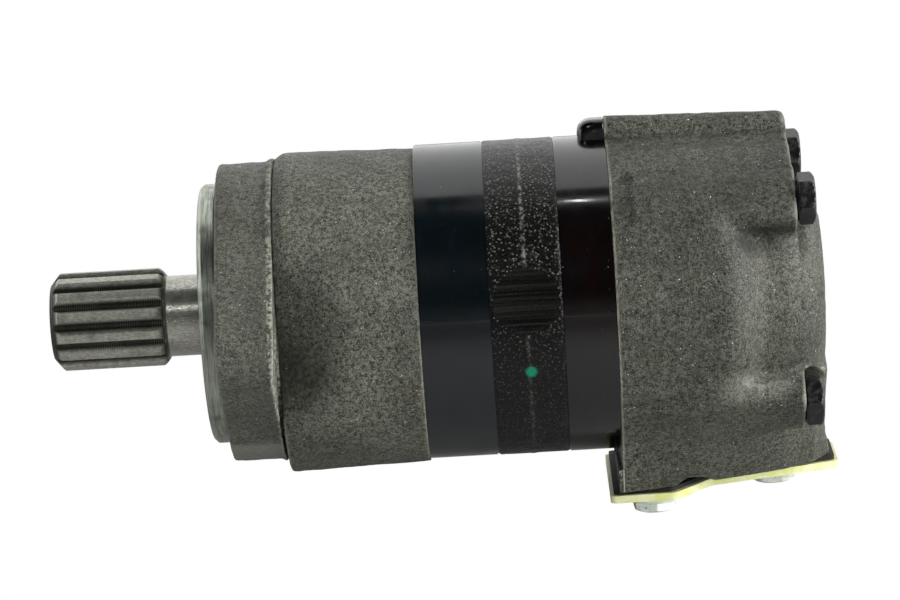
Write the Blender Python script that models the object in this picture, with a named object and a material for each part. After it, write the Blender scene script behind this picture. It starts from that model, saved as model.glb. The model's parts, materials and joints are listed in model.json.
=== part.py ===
"""Disc-valve orbital hydraulic motor, built piece by piece in metres with +Z up.

The shaft axis is the X axis. The origin is the centre of the output shaft's end face, and +X runs
from the shaft end to the rear of the motor. The mounting ears point to -Y and +Y, and the port face
looks down, to -Z.
"""

import math

import bmesh
import bpy
import numpy as np
from mathutils import Matrix, Vector

# ---------------------------------------------------------------------------------------------
# Driving dimensions, in metres
# ---------------------------------------------------------------------------------------------

GAP = 0.0003            # left between pieces that touch on the real motor
PAST = 0.002            # how far a cutter runs past the face that it opens

# Stations along the shaft axis
MOUNT_X = 0.0555                    # mounting face
PILOT_FRONT_X = MOUNT_X - 0.0061
FLANGE_REAR_X = MOUNT_X + 0.0178
HOUSING_REAR_X = MOUNT_X + 0.0620
WEAR_REAR_X = MOUNT_X + 0.0837
RING_REAR_X = MOUNT_X + 0.1062
PLATE_REAR_X = MOUNT_X + 0.1224
BOLT_FACE_X = MOUNT_X + 0.1803
REAR_END_X = MOUNT_X + 0.1888

STACK_RADIUS = 0.0499               # wear plate, rotor ring and valve plate
DRUM_RADIUS = 0.0499                # valve housing

# Mounting flange, SAE A two-bolt
PILOT_RADIUS = 0.04125
FLANGE_RADIUS = 0.0475
EAR_HOLE_Y = 0.0532
EAR_HOLE_RADIUS = 0.00675
EAR_CENTRE_Y = 0.0510
EAR_RADIUS = 0.0140
FLANGE_SCREW_CIRCLE = 0.0360
FLANGE_SCREW_RADIUS = 0.0025
FLANGE_SCREW_HEAD = 0.00425

# Bearing housing
HOUSING_FRONT_RADIUS = 0.0510
HOUSING_DROP = 0.0009               # the raw casting sits this much low on the machined axis
FRONT_CUP_RADIUS = 0.0310
REAR_CUP_RADIUS = 0.0360

# Tie bolts
BOLT_CIRCLE = 0.0443
BOLT_ANGLES = (47.5, 126.0, 226.0, 314.0)      # degrees from -Y towards +Z
BOLT_RADIUS = 0.00425
BOLT_HOLE_RADIUS = 0.0046
BOLT_HEAD_FLATS = 0.0143
BOLT_HEAD_HEIGHT = 0.0055
BOLT_TIP_X = MOUNT_X + 0.0440
BOSS_RADIUS = 0.0100
BOLT_SEAT_RADIUS = 0.0107

# Output shaft
SPLINE_TEETH = 14
SPLINE_TIP = 0.0156
SPLINE_TURN = math.radians(8.2)     # from +Y towards +Z to the first tooth
SPLINE_ROOT = 0.0135
NECK_RADIUS = 0.01285
SEAL_JOURNAL = 0.0170
FRONT_JOURNAL = 0.0180
REAR_JOURNAL = 0.0230
SHAFT_COLLAR = 0.0260

# Roller gerotor: eight-lobe star inside nine rollers
LOBES = 8
ROLLERS = LOBES + 1
ROLLER_CIRCLE = 0.0310
ROLLER_RADIUS = 0.0058
ECCENTRICITY = 0.0025
STAR_CLEARANCE = 0.00015
POCKET_CLEARANCE = 0.0002
RING_BORE = 0.0305
LOBE_POINTS = 14

# Drive splines: twelve straight-sided teeth
DRIVE_TEETH = 12
DRIVE_TIP = 0.0155
DRIVE_ROOT = 0.0131
DRIVE_HALF_TOOTH = 0.00165
DRIVE_PLAY = 0.00025                # spline play on each side, before crowning
DRIVE_CROWN = 0.00055               # how much each spline end is relieved for the tilt
SHAFT_END_CENTRE_X = MOUNT_X + 0.0495
STAR_END_CENTRE_X = MOUNT_X + 0.0905
VALVE_STAR_CENTRE_X = MOUNT_X + 0.1022
VALVE_END_CENTRE_X = MOUNT_X + 0.1380

# Disc valve and balance ring
VALVE_RADIUS = 0.0300
VALVE_HUB = 0.0200
VALVE_BORE = 0.0313
BALANCE_BORE = 0.0280

# Port block, gasket, cover and its screws
PORT_FACE_Z = -0.0598
GASKET_THICKNESS = 0.0012
COVER_THICKNESS = 0.0023
COVER_FRONT_X = MOUNT_X + 0.1183
COVER_REAR_X = MOUNT_X + 0.1928
COVER_SCREW_PLACES = ((MOUNT_X + 0.1323, -0.0130), (MOUNT_X + 0.1719, 0.0135))
PORT_PLACES = ((MOUNT_X + 0.1315, 0.009), (MOUNT_X + 0.157, 0.0025))
PORT_RADIUS = 0.0070
COVER_SCREW_RADIUS = 0.0040
COVER_SCREW_FLANGE = 0.0081
COVER_SCREW_FLATS = 0.0127

# Roundness of turned pieces
OUTSIDE_STEPS = 48
INSIDE_STEPS = 28
SMALL_STEPS = 16

X_AXIS = Vector((1.0, 0.0, 0.0))

# ---------------------------------------------------------------------------------------------
# Materials: name, colour, metallic, roughness
# ---------------------------------------------------------------------------------------------

FINISHES = {
    "cast_iron": ((0.115, 0.112, 0.095), 0.75, 0.55),
    "navy_steel": ((0.012, 0.018, 0.028), 0.60, 0.22),
    "ring_iron": ((0.030, 0.030, 0.028), 0.60, 0.60),
    "oxide_steel": ((0.022, 0.012, 0.012), 0.60, 0.22),
    "machined_steel": ((0.360, 0.350, 0.330), 1.00, 0.35),
    "ground_steel": ((0.550, 0.550, 0.550), 1.00, 0.20),
    "black_bolt": ((0.010, 0.010, 0.011), 0.70, 0.40),
    "zinc": ((0.560, 0.580, 0.560), 1.00, 0.38),
    "yellow_zinc": ((0.640, 0.630, 0.300), 0.80, 0.42),
    "black_rubber": ((0.012, 0.012, 0.012), 0.00, 0.75),
    "seal_plastic": ((0.150, 0.120, 0.080), 0.00, 0.50),
    "spring_steel": ((0.250, 0.240, 0.230), 1.00, 0.32),
}


def material(finish):
    """The Principled material of a finish, made the first time that it is asked for."""
    found = bpy.data.materials.get(finish)
    if found:
        return found
    colour, metallic, roughness = FINISHES[finish]
    made = bpy.data.materials.new(finish)
    made.use_nodes = True
    shader = made.node_tree.nodes["Principled BSDF"]
    shader.inputs["Base Color"].default_value = (*colour, 1.0)
    shader.inputs["Metallic"].default_value = metallic
    shader.inputs["Roughness"].default_value = roughness
    made.diffuse_color = (*colour, 1.0)
    return made


# ---------------------------------------------------------------------------------------------
# Outlines in a plane across the shaft axis, as lists of (y, z)
# ---------------------------------------------------------------------------------------------


def arc(centre, radius, start, end, steps):
    """Points along an arc, angles in degrees from +Y towards +Z, both ends included."""
    return [
        (
            centre[0] + radius * math.cos(math.radians(start + (end - start) * i / steps)),
            centre[1] + radius * math.sin(math.radians(start + (end - start) * i / steps)),
        )
        for i in range(steps + 1)
    ]


def circle(radius, steps, centre=(0.0, 0.0)):
    return arc(centre, radius, 0.0, 360.0, steps)[:-1]


def hexagon(across_flats, centre=(0.0, 0.0), turn=0.0):
    return arc(centre, across_flats / math.sqrt(3), turn, turn + 360.0, 6)[:-1]


def around(radius, angle):
    """The (y, z) of a point at this radius, with angle in degrees from +Y towards +Z."""
    return radius * math.cos(math.radians(angle)), radius * math.sin(math.radians(angle))


def bolt_places():
    return [around(BOLT_CIRCLE, 180.0 - angle) for angle in BOLT_ANGLES]


def flange_outline():
    """Round flange with an ear to each side, flanks tangent to both arcs."""
    tangent = math.degrees(math.acos((FLANGE_RADIUS - EAR_RADIUS) / EAR_CENTRE_Y))
    right = arc((EAR_CENTRE_Y, 0.0), EAR_RADIUS, -tangent, tangent, 12)
    top = arc((0.0, 0.0), FLANGE_RADIUS, tangent, 180.0 - tangent, 14)
    left = arc((-EAR_CENTRE_Y, 0.0), EAR_RADIUS, 180.0 - tangent, 180.0 + tangent, 12)
    bottom = arc((0.0, 0.0), FLANGE_RADIUS, 180.0 + tangent, 360.0 - tangent, 14)
    return right[:-1] + top[:-1] + left[:-1] + bottom[:-1]


def toothed(teeth, root, tip, half_root, half_tip):
    """Straight-sided teeth on a round core, four points to a tooth."""
    outline = []
    for tooth in range(teeth):
        turn = 2.0 * math.pi * tooth / teeth
        corners = ((root, -half_root), (tip, -half_tip), (tip, half_tip), (root, half_root))
        for radius, side in corners:
            angle = turn + math.asin(side / radius)
            outline.append((radius * math.cos(angle), radius * math.sin(angle)))
    return outline


def drive_teeth(grow=0.0, scale=1.0):
    """The drive spline's outline, grown outwards by grow, for a spline of scale times full size."""
    return toothed(
        DRIVE_TEETH,
        DRIVE_ROOT * scale + grow,
        DRIVE_TIP * scale + grow,
        DRIVE_HALF_TOOTH * scale + 0.0006 * scale + grow,
        DRIVE_HALF_TOOTH * scale - 0.0003 * scale + grow,
    )


def star_point(turn):
    """Where the star's surface lies: a parallel of the path that a roller centre draws on it."""
    path = Vector(
        (
            ROLLER_CIRCLE * math.cos(turn) - ECCENTRICITY * math.cos(ROLLERS * turn),
            ROLLER_CIRCLE * math.sin(turn) - ECCENTRICITY * math.sin(ROLLERS * turn),
        )
    )
    along = Vector(
        (
            -ROLLER_CIRCLE * math.sin(turn) + ROLLERS * ECCENTRICITY * math.sin(ROLLERS * turn),
            ROLLER_CIRCLE * math.cos(turn) - ROLLERS * ECCENTRICITY * math.cos(ROLLERS * turn),
        )
    ).normalized()
    inwards = Vector((-along.y, along.x))
    return path + (ROLLER_RADIUS + STAR_CLEARANCE) * inwards


def star_outline():
    """The star's profile, one lobe at points an equal length apart, then the same lobe turned."""
    turns = np.linspace(0.0, 2.0 * math.pi / LOBES, 400)
    points = np.array([star_point(turn) for turn in turns])
    lengths = np.concatenate([[0.0], np.cumsum(np.hypot(*np.diff(points, axis=0).T))])
    spaced = np.interp(np.arange(LOBE_POINTS) * lengths[-1] / LOBE_POINTS, lengths, turns)
    outline = []
    for lobe in range(LOBES):
        for turn in spaced:
            outline.append(tuple(star_point(turn + 2.0 * math.pi * lobe / LOBES)))
    return outline


def roller_angle(roller):
    return 360.0 * roller / ROLLERS


def ring_bore_outline():
    """Round bore with a half-round pocket for each roller."""
    pocket = ROLLER_RADIUS + POCKET_CLEARANCE
    meet = math.degrees(
        math.acos((ROLLER_CIRCLE**2 + pocket**2 - RING_BORE**2) / (2 * ROLLER_CIRCLE * pocket))
    )
    outline = []
    for roller in range(ROLLERS):
        turn = roller_angle(roller)
        half = 180.0 - meet
        outline += arc(around(ROLLER_CIRCLE, turn), pocket, turn - half, turn + half, 8)
        outline.append(around(RING_BORE, turn + 180.0 / ROLLERS))
    return outline


# ---------------------------------------------------------------------------------------------
# Solids
# ---------------------------------------------------------------------------------------------


def clear_scene():
    for obj in list(bpy.data.objects):
        bpy.data.objects.remove(obj, do_unlink=True)


def object_from(bm, name, finish, x=0.0, y=0.0, z=0.0):
    """Closes a bmesh into an object at this place, round faces smooth and sharp edges kept."""
    bmesh.ops.recalc_face_normals(bm, faces=bm.faces)
    mesh = bpy.data.meshes.new(name)
    bm.to_mesh(mesh)
    bm.free()
    mesh.materials.append(material(finish))
    mesh.shade_smooth()
    mesh.set_sharp_from_angle(angle=math.radians(32.0))
    obj = bpy.data.objects.new(name, mesh)
    obj.location = (x, y, z)
    bpy.context.scene.collection.objects.link(obj)
    return obj


def turned(name, profile, finish, steps=INSIDE_STEPS, **place):
    """A piece turned about the local X axis from a closed profile of (x, radius) points."""
    bm = bmesh.new()
    points = [bm.verts.new((x, radius, 0.0)) for x, radius in profile]
    lines = [bm.edges.new((a, b)) for a, b in zip(points, points[1:] + points[:1])]
    bmesh.ops.spin(
        bm,
        geom=points + lines,
        cent=(0.0, 0.0, 0.0),
        axis=X_AXIS,
        angle=2.0 * math.pi,
        steps=steps,
        use_merge=True,
    )
    bmesh.ops.remove_doubles(bm, verts=bm.verts, dist=1e-7)
    on_axis = [e for e in bm.edges if all(v.co.y**2 + v.co.z**2 < 1e-14 for v in e.verts)]
    bmesh.ops.delete(bm, geom=on_axis, context="EDGES")
    return object_from(bm, name, finish, **place)


def prism(name, loops, depth, finish, end_scale=1.0, **place):
    """The area inside the first loop and outside the others, extruded by depth along local +X."""
    bm = bmesh.new()
    for loop in loops:
        corners = [bm.verts.new((0.0, y, z)) for y, z in loop]
        for a, b in zip(corners, corners[1:] + corners[:1]):
            bm.edges.new((a, b))
    bmesh.ops.triangle_fill(bm, use_beauty=True, edges=bm.edges[:], normal=X_AXIS)
    grown = bmesh.ops.extrude_face_region(bm, geom=bm.faces[:])["geom"]
    moved = [part for part in grown if isinstance(part, bmesh.types.BMVert)]
    bmesh.ops.scale(bm, vec=(1.0, end_scale, end_scale), verts=moved)
    bmesh.ops.translate(bm, vec=(depth, 0.0, 0.0), verts=moved)
    return object_from(bm, name, finish, **place)


def lofted(name, sections, finish, **place):
    """A solid through (x, outline) sections of equal point counts, with flat ends."""
    bm = bmesh.new()
    rings = [[bm.verts.new((x, y, z)) for y, z in outline] for x, outline in sections]
    for ring, following in zip(rings, rings[1:]):
        for i in range(len(ring)):
            j = (i + 1) % len(ring)
            bm.faces.new((ring[i], ring[j], following[j], following[i]))
    bm.faces.new(rings[0])
    bm.faces.new(rings[-1])
    return object_from(bm, name, finish, **place)


def downward(obj):
    """Turns a piece that was modelled along +X so that it runs along -Z."""
    obj.rotation_euler = (0.0, math.radians(90.0), 0.0)
    return obj


def joined(name, pieces, finish):
    """One helper object from several, for a cutter that opens several places at once."""
    bm = bmesh.new()
    for piece in pieces:
        mesh = piece.data.copy()
        mesh.transform(Matrix.LocRotScale(piece.location, piece.rotation_euler, None))
        bm.from_mesh(mesh)
        bpy.data.meshes.remove(mesh)
        bpy.data.objects.remove(piece, do_unlink=True)
    return object_from(bm, name, finish)


def helper(obj):
    """Marks an object as a construction shape that isn't part of the motor."""
    obj.hide_render = True
    obj.display_type = "WIRE"
    return obj


def combine(obj, other, operation, label):
    modifier = obj.modifiers.new(label, "BOOLEAN")
    modifier.operation = operation
    modifier.solver = "EXACT"
    modifier.object = helper(other)
    return obj


def cut(obj, other, label):
    return combine(obj, other, "DIFFERENCE", label)


def add(obj, other, label):
    return combine(obj, other, "UNION", label)


def rod(name, radius, length, steps=SMALL_STEPS, **place):
    """A plain round bar along local +X, used for holes and for round lumps of a casting."""
    profile = [(0.0, 0.0), (0.0, radius), (length, radius), (length, 0.0)]
    return turned(name, profile, "cast_iron", steps, **place)


def bolt_hole_cutter(name, x, length):
    rods = [
        rod(f"{name}_{i}", BOLT_HOLE_RADIUS, length, 12, x=x, y=y, z=z)
        for i, (y, z) in enumerate(bolt_places())
    ]
    return joined(name, rods, "cast_iron")


def bolt_hole_loops():
    return [circle(BOLT_HOLE_RADIUS, 12, place) for place in bolt_places()]


SEAL_INNER = 0.0376
SEAL_OUTER = 0.0388
SEAL_THICKNESS = 0.0014
GROOVE_MARGIN = 0.0003


def annulus_profile(inner, outer, start, end):
    return [(start, inner), (start, outer), (end, outer), (end, inner)]


def seal_groove(name, face_x, into):
    """A ring-shaped cutter for the section seal's groove. into is +1 or -1, towards the metal."""
    depth = SEAL_THICKNESS + GROOVE_MARGIN
    ends = sorted((face_x - into * PAST, face_x + into * depth))
    profile = annulus_profile(SEAL_INNER - GROOVE_MARGIN, SEAL_OUTER + GROOVE_MARGIN, *ends)
    return turned(name, profile, "cast_iron")


def section_seal(number, face_x, into):
    """Square-cut seal in its groove, level with the face that it seals."""
    ends = sorted((face_x + into * 0.0001, face_x + into * (0.0001 + SEAL_THICKNESS)))
    profile = annulus_profile(SEAL_INNER, SEAL_OUTER, *ends)
    return turned(f"section_seal_{number}", profile, "black_rubber")


# ---------------------------------------------------------------------------------------------
# Front end: flange, seals, bearing housing and bearings
# ---------------------------------------------------------------------------------------------


def flange_screw_places():
    return [around(FLANGE_SCREW_CIRCLE, angle) for angle in (45.0, 135.0, 225.0, 315.0)]


def mounting_flange():
    holes = [circle(EAR_HOLE_RADIUS, 24, (side * EAR_HOLE_Y, 0.0)) for side in (-1, 1)]
    flange = prism(
        "mounting_flange",
        [flange_outline(), *holes],
        FLANGE_REAR_X - MOUNT_X,
        "cast_iron",
        x=MOUNT_X,
    )
    pilot_depth = MOUNT_X - PILOT_FRONT_X
    chamfer = 0.0012
    pilot = turned(
        "pilot_blank",
        [
            (0.0, 0.0),
            (0.0, PILOT_RADIUS - chamfer),
            (chamfer, PILOT_RADIUS),
            (pilot_depth + 0.004, PILOT_RADIUS),
            (pilot_depth + 0.004, 0.0),
        ],
        "cast_iron",
        OUTSIDE_STEPS,
        x=PILOT_FRONT_X,
    )
    add(flange, pilot, "Pilot")
    bore = turned(
        "flange_bore",
        [
            (PILOT_FRONT_X - PAST, 0.0),
            (PILOT_FRONT_X - PAST, 0.0220),
            (MOUNT_X - 0.0012, 0.0220),
            (MOUNT_X - 0.0012, SEAL_JOURNAL + 0.0006),
            (MOUNT_X + 0.0050, SEAL_JOURNAL + 0.0006),
            (MOUNT_X + 0.0050, 0.0260),
            (FLANGE_REAR_X + PAST, 0.0260),
            (FLANGE_REAR_X + PAST, 0.0),
        ],
        "cast_iron",
    )
    steps = [bore]
    head_depth = 0.0065
    for i, (y, z) in enumerate(flange_screw_places()):
        head = FLANGE_SCREW_HEAD + 0.00025
        shank = FLANGE_SCREW_RADIUS + 0.0003
        profile = [
            (-PAST, 0.0),
            (-PAST, head),
            (head_depth, head),
            (head_depth, shank),
            (0.030, shank),
            (0.030, 0.0),
        ]
        steps.append(turned(f"step_{i}", profile, "cast_iron", 16, x=PILOT_FRONT_X, y=y, z=z))
    cut(flange, joined("flange_bore_cutter", steps, "cast_iron"), "Stepped bore and screw holes")
    return flange


def flange_screws():
    """Socket head screws from the pilot's front face into the bearing housing."""
    head_start = 0.0012
    head_end = 0.0062
    length = 0.0330
    for i, (y, z) in enumerate(flange_screw_places(), start=1):
        screw = turned(
            f"flange_screw_{i}",
            [
                (head_start, 0.0),
                (head_start, FLANGE_SCREW_HEAD),
                (head_end, FLANGE_SCREW_HEAD),
                (head_end, FLANGE_SCREW_RADIUS),
                (length, FLANGE_SCREW_RADIUS),
                (length, 0.0),
            ],
            "black_bolt",
            12,
            x=PILOT_FRONT_X,
            y=y,
            z=z,
        )
        socket = prism(
            f"socket_cutter_{i}",
            [hexagon(0.0042)],
            head_start + 0.0030 + PAST,
            "black_bolt",
            x=PILOT_FRONT_X - PAST,
            y=y,
            z=z,
        )
        cut(screw, socket, "Socket")


def shaft_seals():
    dust = [
        (-0.0058, NECK_RADIUS + 0.0004),
        (-0.0058, 0.0150),
        (-0.0048, 0.0150),
        (-0.0048, 0.0217),
        (-0.0015, 0.0217),
        (-0.0015, 0.0150),
        (-0.0040, NECK_RADIUS + 0.0004),
    ]
    turned("dust_seal", dust, "black_rubber", x=MOUNT_X)
    inner = SEAL_JOURNAL + 0.0004
    lip = [
        (0.0053, 0.0200),
        (0.0053, 0.0257),
        (0.0120, 0.0257),
        (0.0120, 0.0240),
        (0.0070, 0.0240),
        (0.0070, 0.0205),
        (0.0110, inner + 0.0012),
        (0.0110, inner),
        (0.0085, inner),
    ]
    turned("shaft_seal", lip, "seal_plastic", x=MOUNT_X)
    turned(
        "seal_backup_washer",
        annulus_profile(inner, 0.0257, 0.0123, 0.0138),
        "machined_steel",
        x=MOUNT_X,
    )


def bearing_housing():
    front = FLANGE_REAR_X + GAP - MOUNT_X
    rear = HOUSING_REAR_X - MOUNT_X
    edge = 0.0010
    housing = turned(
        "bearing_housing",
        [
            (front, 0.0),
            (front, HOUSING_FRONT_RADIUS - edge),
            (front + edge, HOUSING_FRONT_RADIUS),
            (rear, STACK_RADIUS),
            (rear, 0.0),
        ],
        "cast_iron",
        OUTSIDE_STEPS,
        x=MOUNT_X,
        z=-HOUSING_DROP,
    )
    bore = turned(
        "bearing_bore_cutter",
        [
            (front - PAST, 0.0),
            (front - PAST, FRONT_CUP_RADIUS + GAP),
            (0.0342, FRONT_CUP_RADIUS + GAP),
            (0.0342, 0.0270),
            (0.0420, 0.0270),
            (0.0420, REAR_CUP_RADIUS + GAP),
            (rear + PAST, REAR_CUP_RADIUS + GAP),
            (rear + PAST, 0.0),
        ],
        "cast_iron",
        x=MOUNT_X,
    )
    cut(housing, bore, "Bearing bores")
    thread_x = BOLT_TIP_X - 0.002
    cut(housing, bolt_hole_cutter("housing_thread_cutter", thread_x, 0.030), "Tie bolt threads")
    taps = [
        rod(f"tap_{i}", FLANGE_SCREW_RADIUS + 0.0003, 0.014, 12, x=FLANGE_REAR_X - PAST, y=y, z=z)
        for i, (y, z) in enumerate(flange_screw_places())
    ]
    cut(housing, joined("flange_thread_cutter", taps, "cast_iron"), "Flange screw threads")
    cut(housing, seal_groove("housing_groove_cutter", HOUSING_REAR_X, -1), "Seal groove")
    cut(housing, ear_relief_cutter(), "Room behind the ears")
    return housing


def ear_relief_cutter():
    """Flats behind both ears, deepest at the flange and fading out towards the rear."""
    front = FLANGE_REAR_X - PAST
    fade = MOUNT_X + 0.0385
    pieces = []
    for side in (-1, 1):
        outline = [
            (front, side * 0.0416),
            (fade, side * 0.0505),
            (fade, side * 0.0700),
            (front, side * 0.0700),
        ]
        pieces.append(level(f"relief_{side + 1}", outline, 0.0400, -0.0400, "cast_iron"))
    return joined("ear_relief_cutter", pieces, "cast_iron")


def bearing(side, start, end, bore, outer, roller_circles, roller_radii, count):
    """A tapered roller bearing: cup, cone, and the rollers held together by their cage."""
    play = 0.0005
    cup = [
        (start, outer),
        (end, outer),
        (end, roller_circles[1] + roller_radii[1] + play),
        (start, roller_circles[0] + roller_radii[0] + play),
    ]
    turned(f"{side}_bearing_cup", cup, "ground_steel", x=MOUNT_X)
    cone = [
        (start, bore),
        (start, roller_circles[0] - roller_radii[0] - play),
        (end, roller_circles[1] - roller_radii[1] - play),
        (end, bore),
    ]
    turned(f"{side}_bearing_cone", cone, "ground_steel", x=MOUNT_X)
    inset = 0.0012
    prism(
        f"{side}_roller_cage",
        cage_loops(roller_circles[0], roller_radii[0], count),
        end - start - 2 * inset,
        "machined_steel",
        end_scale=roller_circles[1] / roller_circles[0],
        x=MOUNT_X + start + inset,
    )


def cage_loops(pitch, radius, count):
    """Outer and inner outlines of a ring of rollers tied together by a thin cage band."""
    half_band = 0.0008
    meet = math.degrees(math.asin(half_band / radius))
    outside, inside = [], []
    for roller in range(count):
        turn = 360.0 * roller / count
        centre = around(pitch, turn)
        outside += arc(centre, radius, turn - 90.0 + meet, turn + 90.0 - meet, 3)
        inside += arc(centre, radius, turn - 90.0 - meet, turn - 270.0 + meet, 3)
    return [outside, inside]


def bearings():
    bearing("front", 0.0205, 0.0339, FRONT_JOURNAL + GAP, FRONT_CUP_RADIUS, (0.0254, 0.0239),
            (0.00235, 0.00221), 15)
    bearing("rear", 0.0423, 0.0569, REAR_JOURNAL + GAP, REAR_CUP_RADIUS, (0.0286, 0.0302),
            (0.00240, 0.00253), 17)
    spacer = annulus_profile(FRONT_JOURNAL + GAP, 0.0205, 0.0343, 0.0408)
    turned("bearing_spacer", spacer, "machined_steel", x=MOUNT_X)
    nut = turned(
        "shaft_nut",
        annulus_profile(FRONT_JOURNAL + GAP, 0.0222, 0.0158, 0.0202),
        "machined_steel",
        24,
        x=MOUNT_X,
    )
    slots = []
    for i in range(4):
        slot = prism(f"slot_{i}", [[(-0.002, 0.0), (0.002, 0.0), (0.002, 0.004), (-0.002, 0.004)]],
                     0.010, "machined_steel", x=MOUNT_X + 0.013)
        turn = math.radians(90.0 * i + 45.0)
        slot.rotation_euler = (turn, 0.0, 0.0)
        slot.location.y = -0.0207 * math.sin(turn)
        slot.location.z = 0.0207 * math.cos(turn)
        slots.append(slot)
    cut(nut, joined("nut_slot_cutter", slots, "machined_steel"), "Spanner slots")


# ---------------------------------------------------------------------------------------------
# Output shaft
# ---------------------------------------------------------------------------------------------


def output_shaft():
    neck_start = MOUNT_X - 0.0187
    body = [
        (neck_start - 0.010, 0.0),
        (neck_start - 0.010, NECK_RADIUS),
        (MOUNT_X - 0.0005, NECK_RADIUS),
        (MOUNT_X + 0.0020, SEAL_JOURNAL),
        (MOUNT_X + 0.0150, SEAL_JOURNAL),
        (MOUNT_X + 0.0155, FRONT_JOURNAL),
        (MOUNT_X + 0.0411, FRONT_JOURNAL),
        (MOUNT_X + 0.0411, REAR_JOURNAL),
        (MOUNT_X + 0.0573, REAR_JOURNAL),
        (MOUNT_X + 0.0573, SHAFT_COLLAR),
        (MOUNT_X + 0.0603, SHAFT_COLLAR),
        (MOUNT_X + 0.0603, 0.0),
    ]
    shaft = turned("output_shaft", body, "machined_steel", 36)
    add(shaft, outer_spline(), "Output spline")
    bore_start = MOUNT_X + 0.0395
    bore = rod("drive_bore_cutter", DRIVE_ROOT + DRIVE_PLAY, 0.040, 24, x=bore_start)
    cut(shaft, bore, "Drive bore")
    spline = prism(
        "shaft_drive_spline_cutter",
        [drive_teeth(DRIVE_PLAY)],
        0.040,
        "machined_steel",
        x=bore_start + 0.002,
    )
    cut(shaft, spline, "Drive spline")
    return shaft


def outer_spline():
    """The output spline: a chamfered blank, keeping only what lies inside the tooth outline."""
    blank = turned(
        "spline_blank",
        [
            (0.0, 0.0),
            (0.0, 0.0123),
            (0.0027, SPLINE_TIP + 0.0001),
            (MOUNT_X - 0.0210, SPLINE_TIP + 0.0001),
            (MOUNT_X - 0.0185, NECK_RADIUS - 0.0002),
            (MOUNT_X - 0.0185, 0.0),
        ],
        "machined_steel",
        42,
    )
    outline = toothed(SPLINE_TEETH, SPLINE_ROOT, SPLINE_TIP, 0.00250, 0.00135)
    cos, sin = math.cos(SPLINE_TURN), math.sin(SPLINE_TURN)
    outline = [(y * cos - z * sin, y * sin + z * cos) for y, z in outline]
    teeth = prism("spline_teeth", [outline], MOUNT_X, "machined_steel", x=-0.005)
    return combine(blank, teeth, "INTERSECT", "Teeth")


# ---------------------------------------------------------------------------------------------
# Gear set: wear plate, ring, rollers, star and drives
# ---------------------------------------------------------------------------------------------


def wear_plate():
    start = HOUSING_REAR_X + GAP
    loops = [circle(STACK_RADIUS, OUTSIDE_STEPS), circle(0.0160, 32), *bolt_hole_loops()]
    plate = prism("wear_plate", loops, WEAR_REAR_X - start, "navy_steel", x=start)
    cut(plate, seal_groove("wear_groove_cutter", WEAR_REAR_X, -1), "Seal groove")
    return plate


def rotor_ring():
    start = WEAR_REAR_X + GAP
    loops = [circle(STACK_RADIUS + 0.0003, OUTSIDE_STEPS), ring_bore_outline(), *bolt_hole_loops()]
    return prism("rotor_ring", loops, RING_REAR_X - start, "ring_iron", x=start)


def rollers():
    start = WEAR_REAR_X + GAP + 0.0001
    length = RING_REAR_X - start - 0.0001
    profile = [(0.0, 0.0), (0.0, ROLLER_RADIUS), (length, ROLLER_RADIUS), (length, 0.0)]
    for i in range(ROLLERS):
        y, z = around(ROLLER_CIRCLE, roller_angle(i))
        turned(f"roller_{i + 1}", profile, "ground_steel", 12, x=start, y=y, z=z)


def star_rotor():
    start = WEAR_REAR_X + GAP + 0.00005
    length = RING_REAR_X - start - 0.00005
    loops = [star_outline(), drive_teeth(DRIVE_PLAY)]
    return prism("star_rotor", loops, length, "ground_steel", x=start, y=ECCENTRICITY)


def crowned(centre, half_length, scale=1.0):
    """Sections of a spline end, full at its middle and relieved towards both ends."""
    return [
        (centre - half_length, drive_teeth(-DRIVE_CROWN, scale)),
        (centre, drive_teeth(0.0, scale)),
        (centre + half_length, drive_teeth(-DRIVE_CROWN, scale)),
    ]


def round_section(x, radius):
    """A circle with the points that a toothed section has, for lofting onto it."""
    return x, [(y * radius / math.hypot(y, z), z * radius / math.hypot(y, z))
               for y, z in drive_teeth()]


def between(obj, start, end):
    """Lays a piece that was modelled along +X from start towards end."""
    direction = Vector(end) - Vector(start)
    obj.location = start
    obj.rotation_euler = Vector(direction).to_track_quat("X", "Z").to_euler()
    return obj


def main_drive():
    """Tilted shaft with a crowned spline at each end: output shaft to star."""
    span = math.hypot(STAR_END_CENTRE_X - SHAFT_END_CENTRE_X, ECCENTRICITY)
    neck = 0.0095
    sections = [
        *crowned(0.0, 0.0062),
        round_section(0.0085, neck),
        round_section(span - 0.0078, neck),
        *crowned(span, 0.0048),
    ]
    drive = lofted("main_drive", sections, "machined_steel")
    start = (SHAFT_END_CENTRE_X, 0.0, 0.0)
    end = (STAR_END_CENTRE_X, ECCENTRICITY, 0.0)
    return between(drive, start, end)


def drive_spacer():
    """Loose disc in the star's bore that keeps the two drives apart."""
    profile = [(0.0, 0.0), (0.0, 0.0125), (0.0018, 0.0125), (0.0018, 0.0)]
    return turned("drive_spacer", profile, "machined_steel", 24, x=MOUNT_X + 0.0967,
                  y=ECCENTRICITY)


def valve_drive():
    """Tilted shaft from the star to the disc valve."""
    span = math.hypot(VALVE_END_CENTRE_X - VALVE_STAR_CENTRE_X, ECCENTRICITY)
    small = 0.68
    neck = 0.0062
    sections = [
        *crowned(0.0, 0.0026),
        round_section(0.0046, neck),
        round_section(span - 0.0065, neck),
        *crowned(span, 0.0040, small),
    ]
    drive = lofted("valve_drive", sections, "machined_steel")
    start = (VALVE_STAR_CENTRE_X, ECCENTRICITY, 0.0)
    end = (VALVE_END_CENTRE_X, 0.0, 0.0)
    return between(drive, start, end)


# ---------------------------------------------------------------------------------------------
# Valve end
# ---------------------------------------------------------------------------------------------


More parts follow.
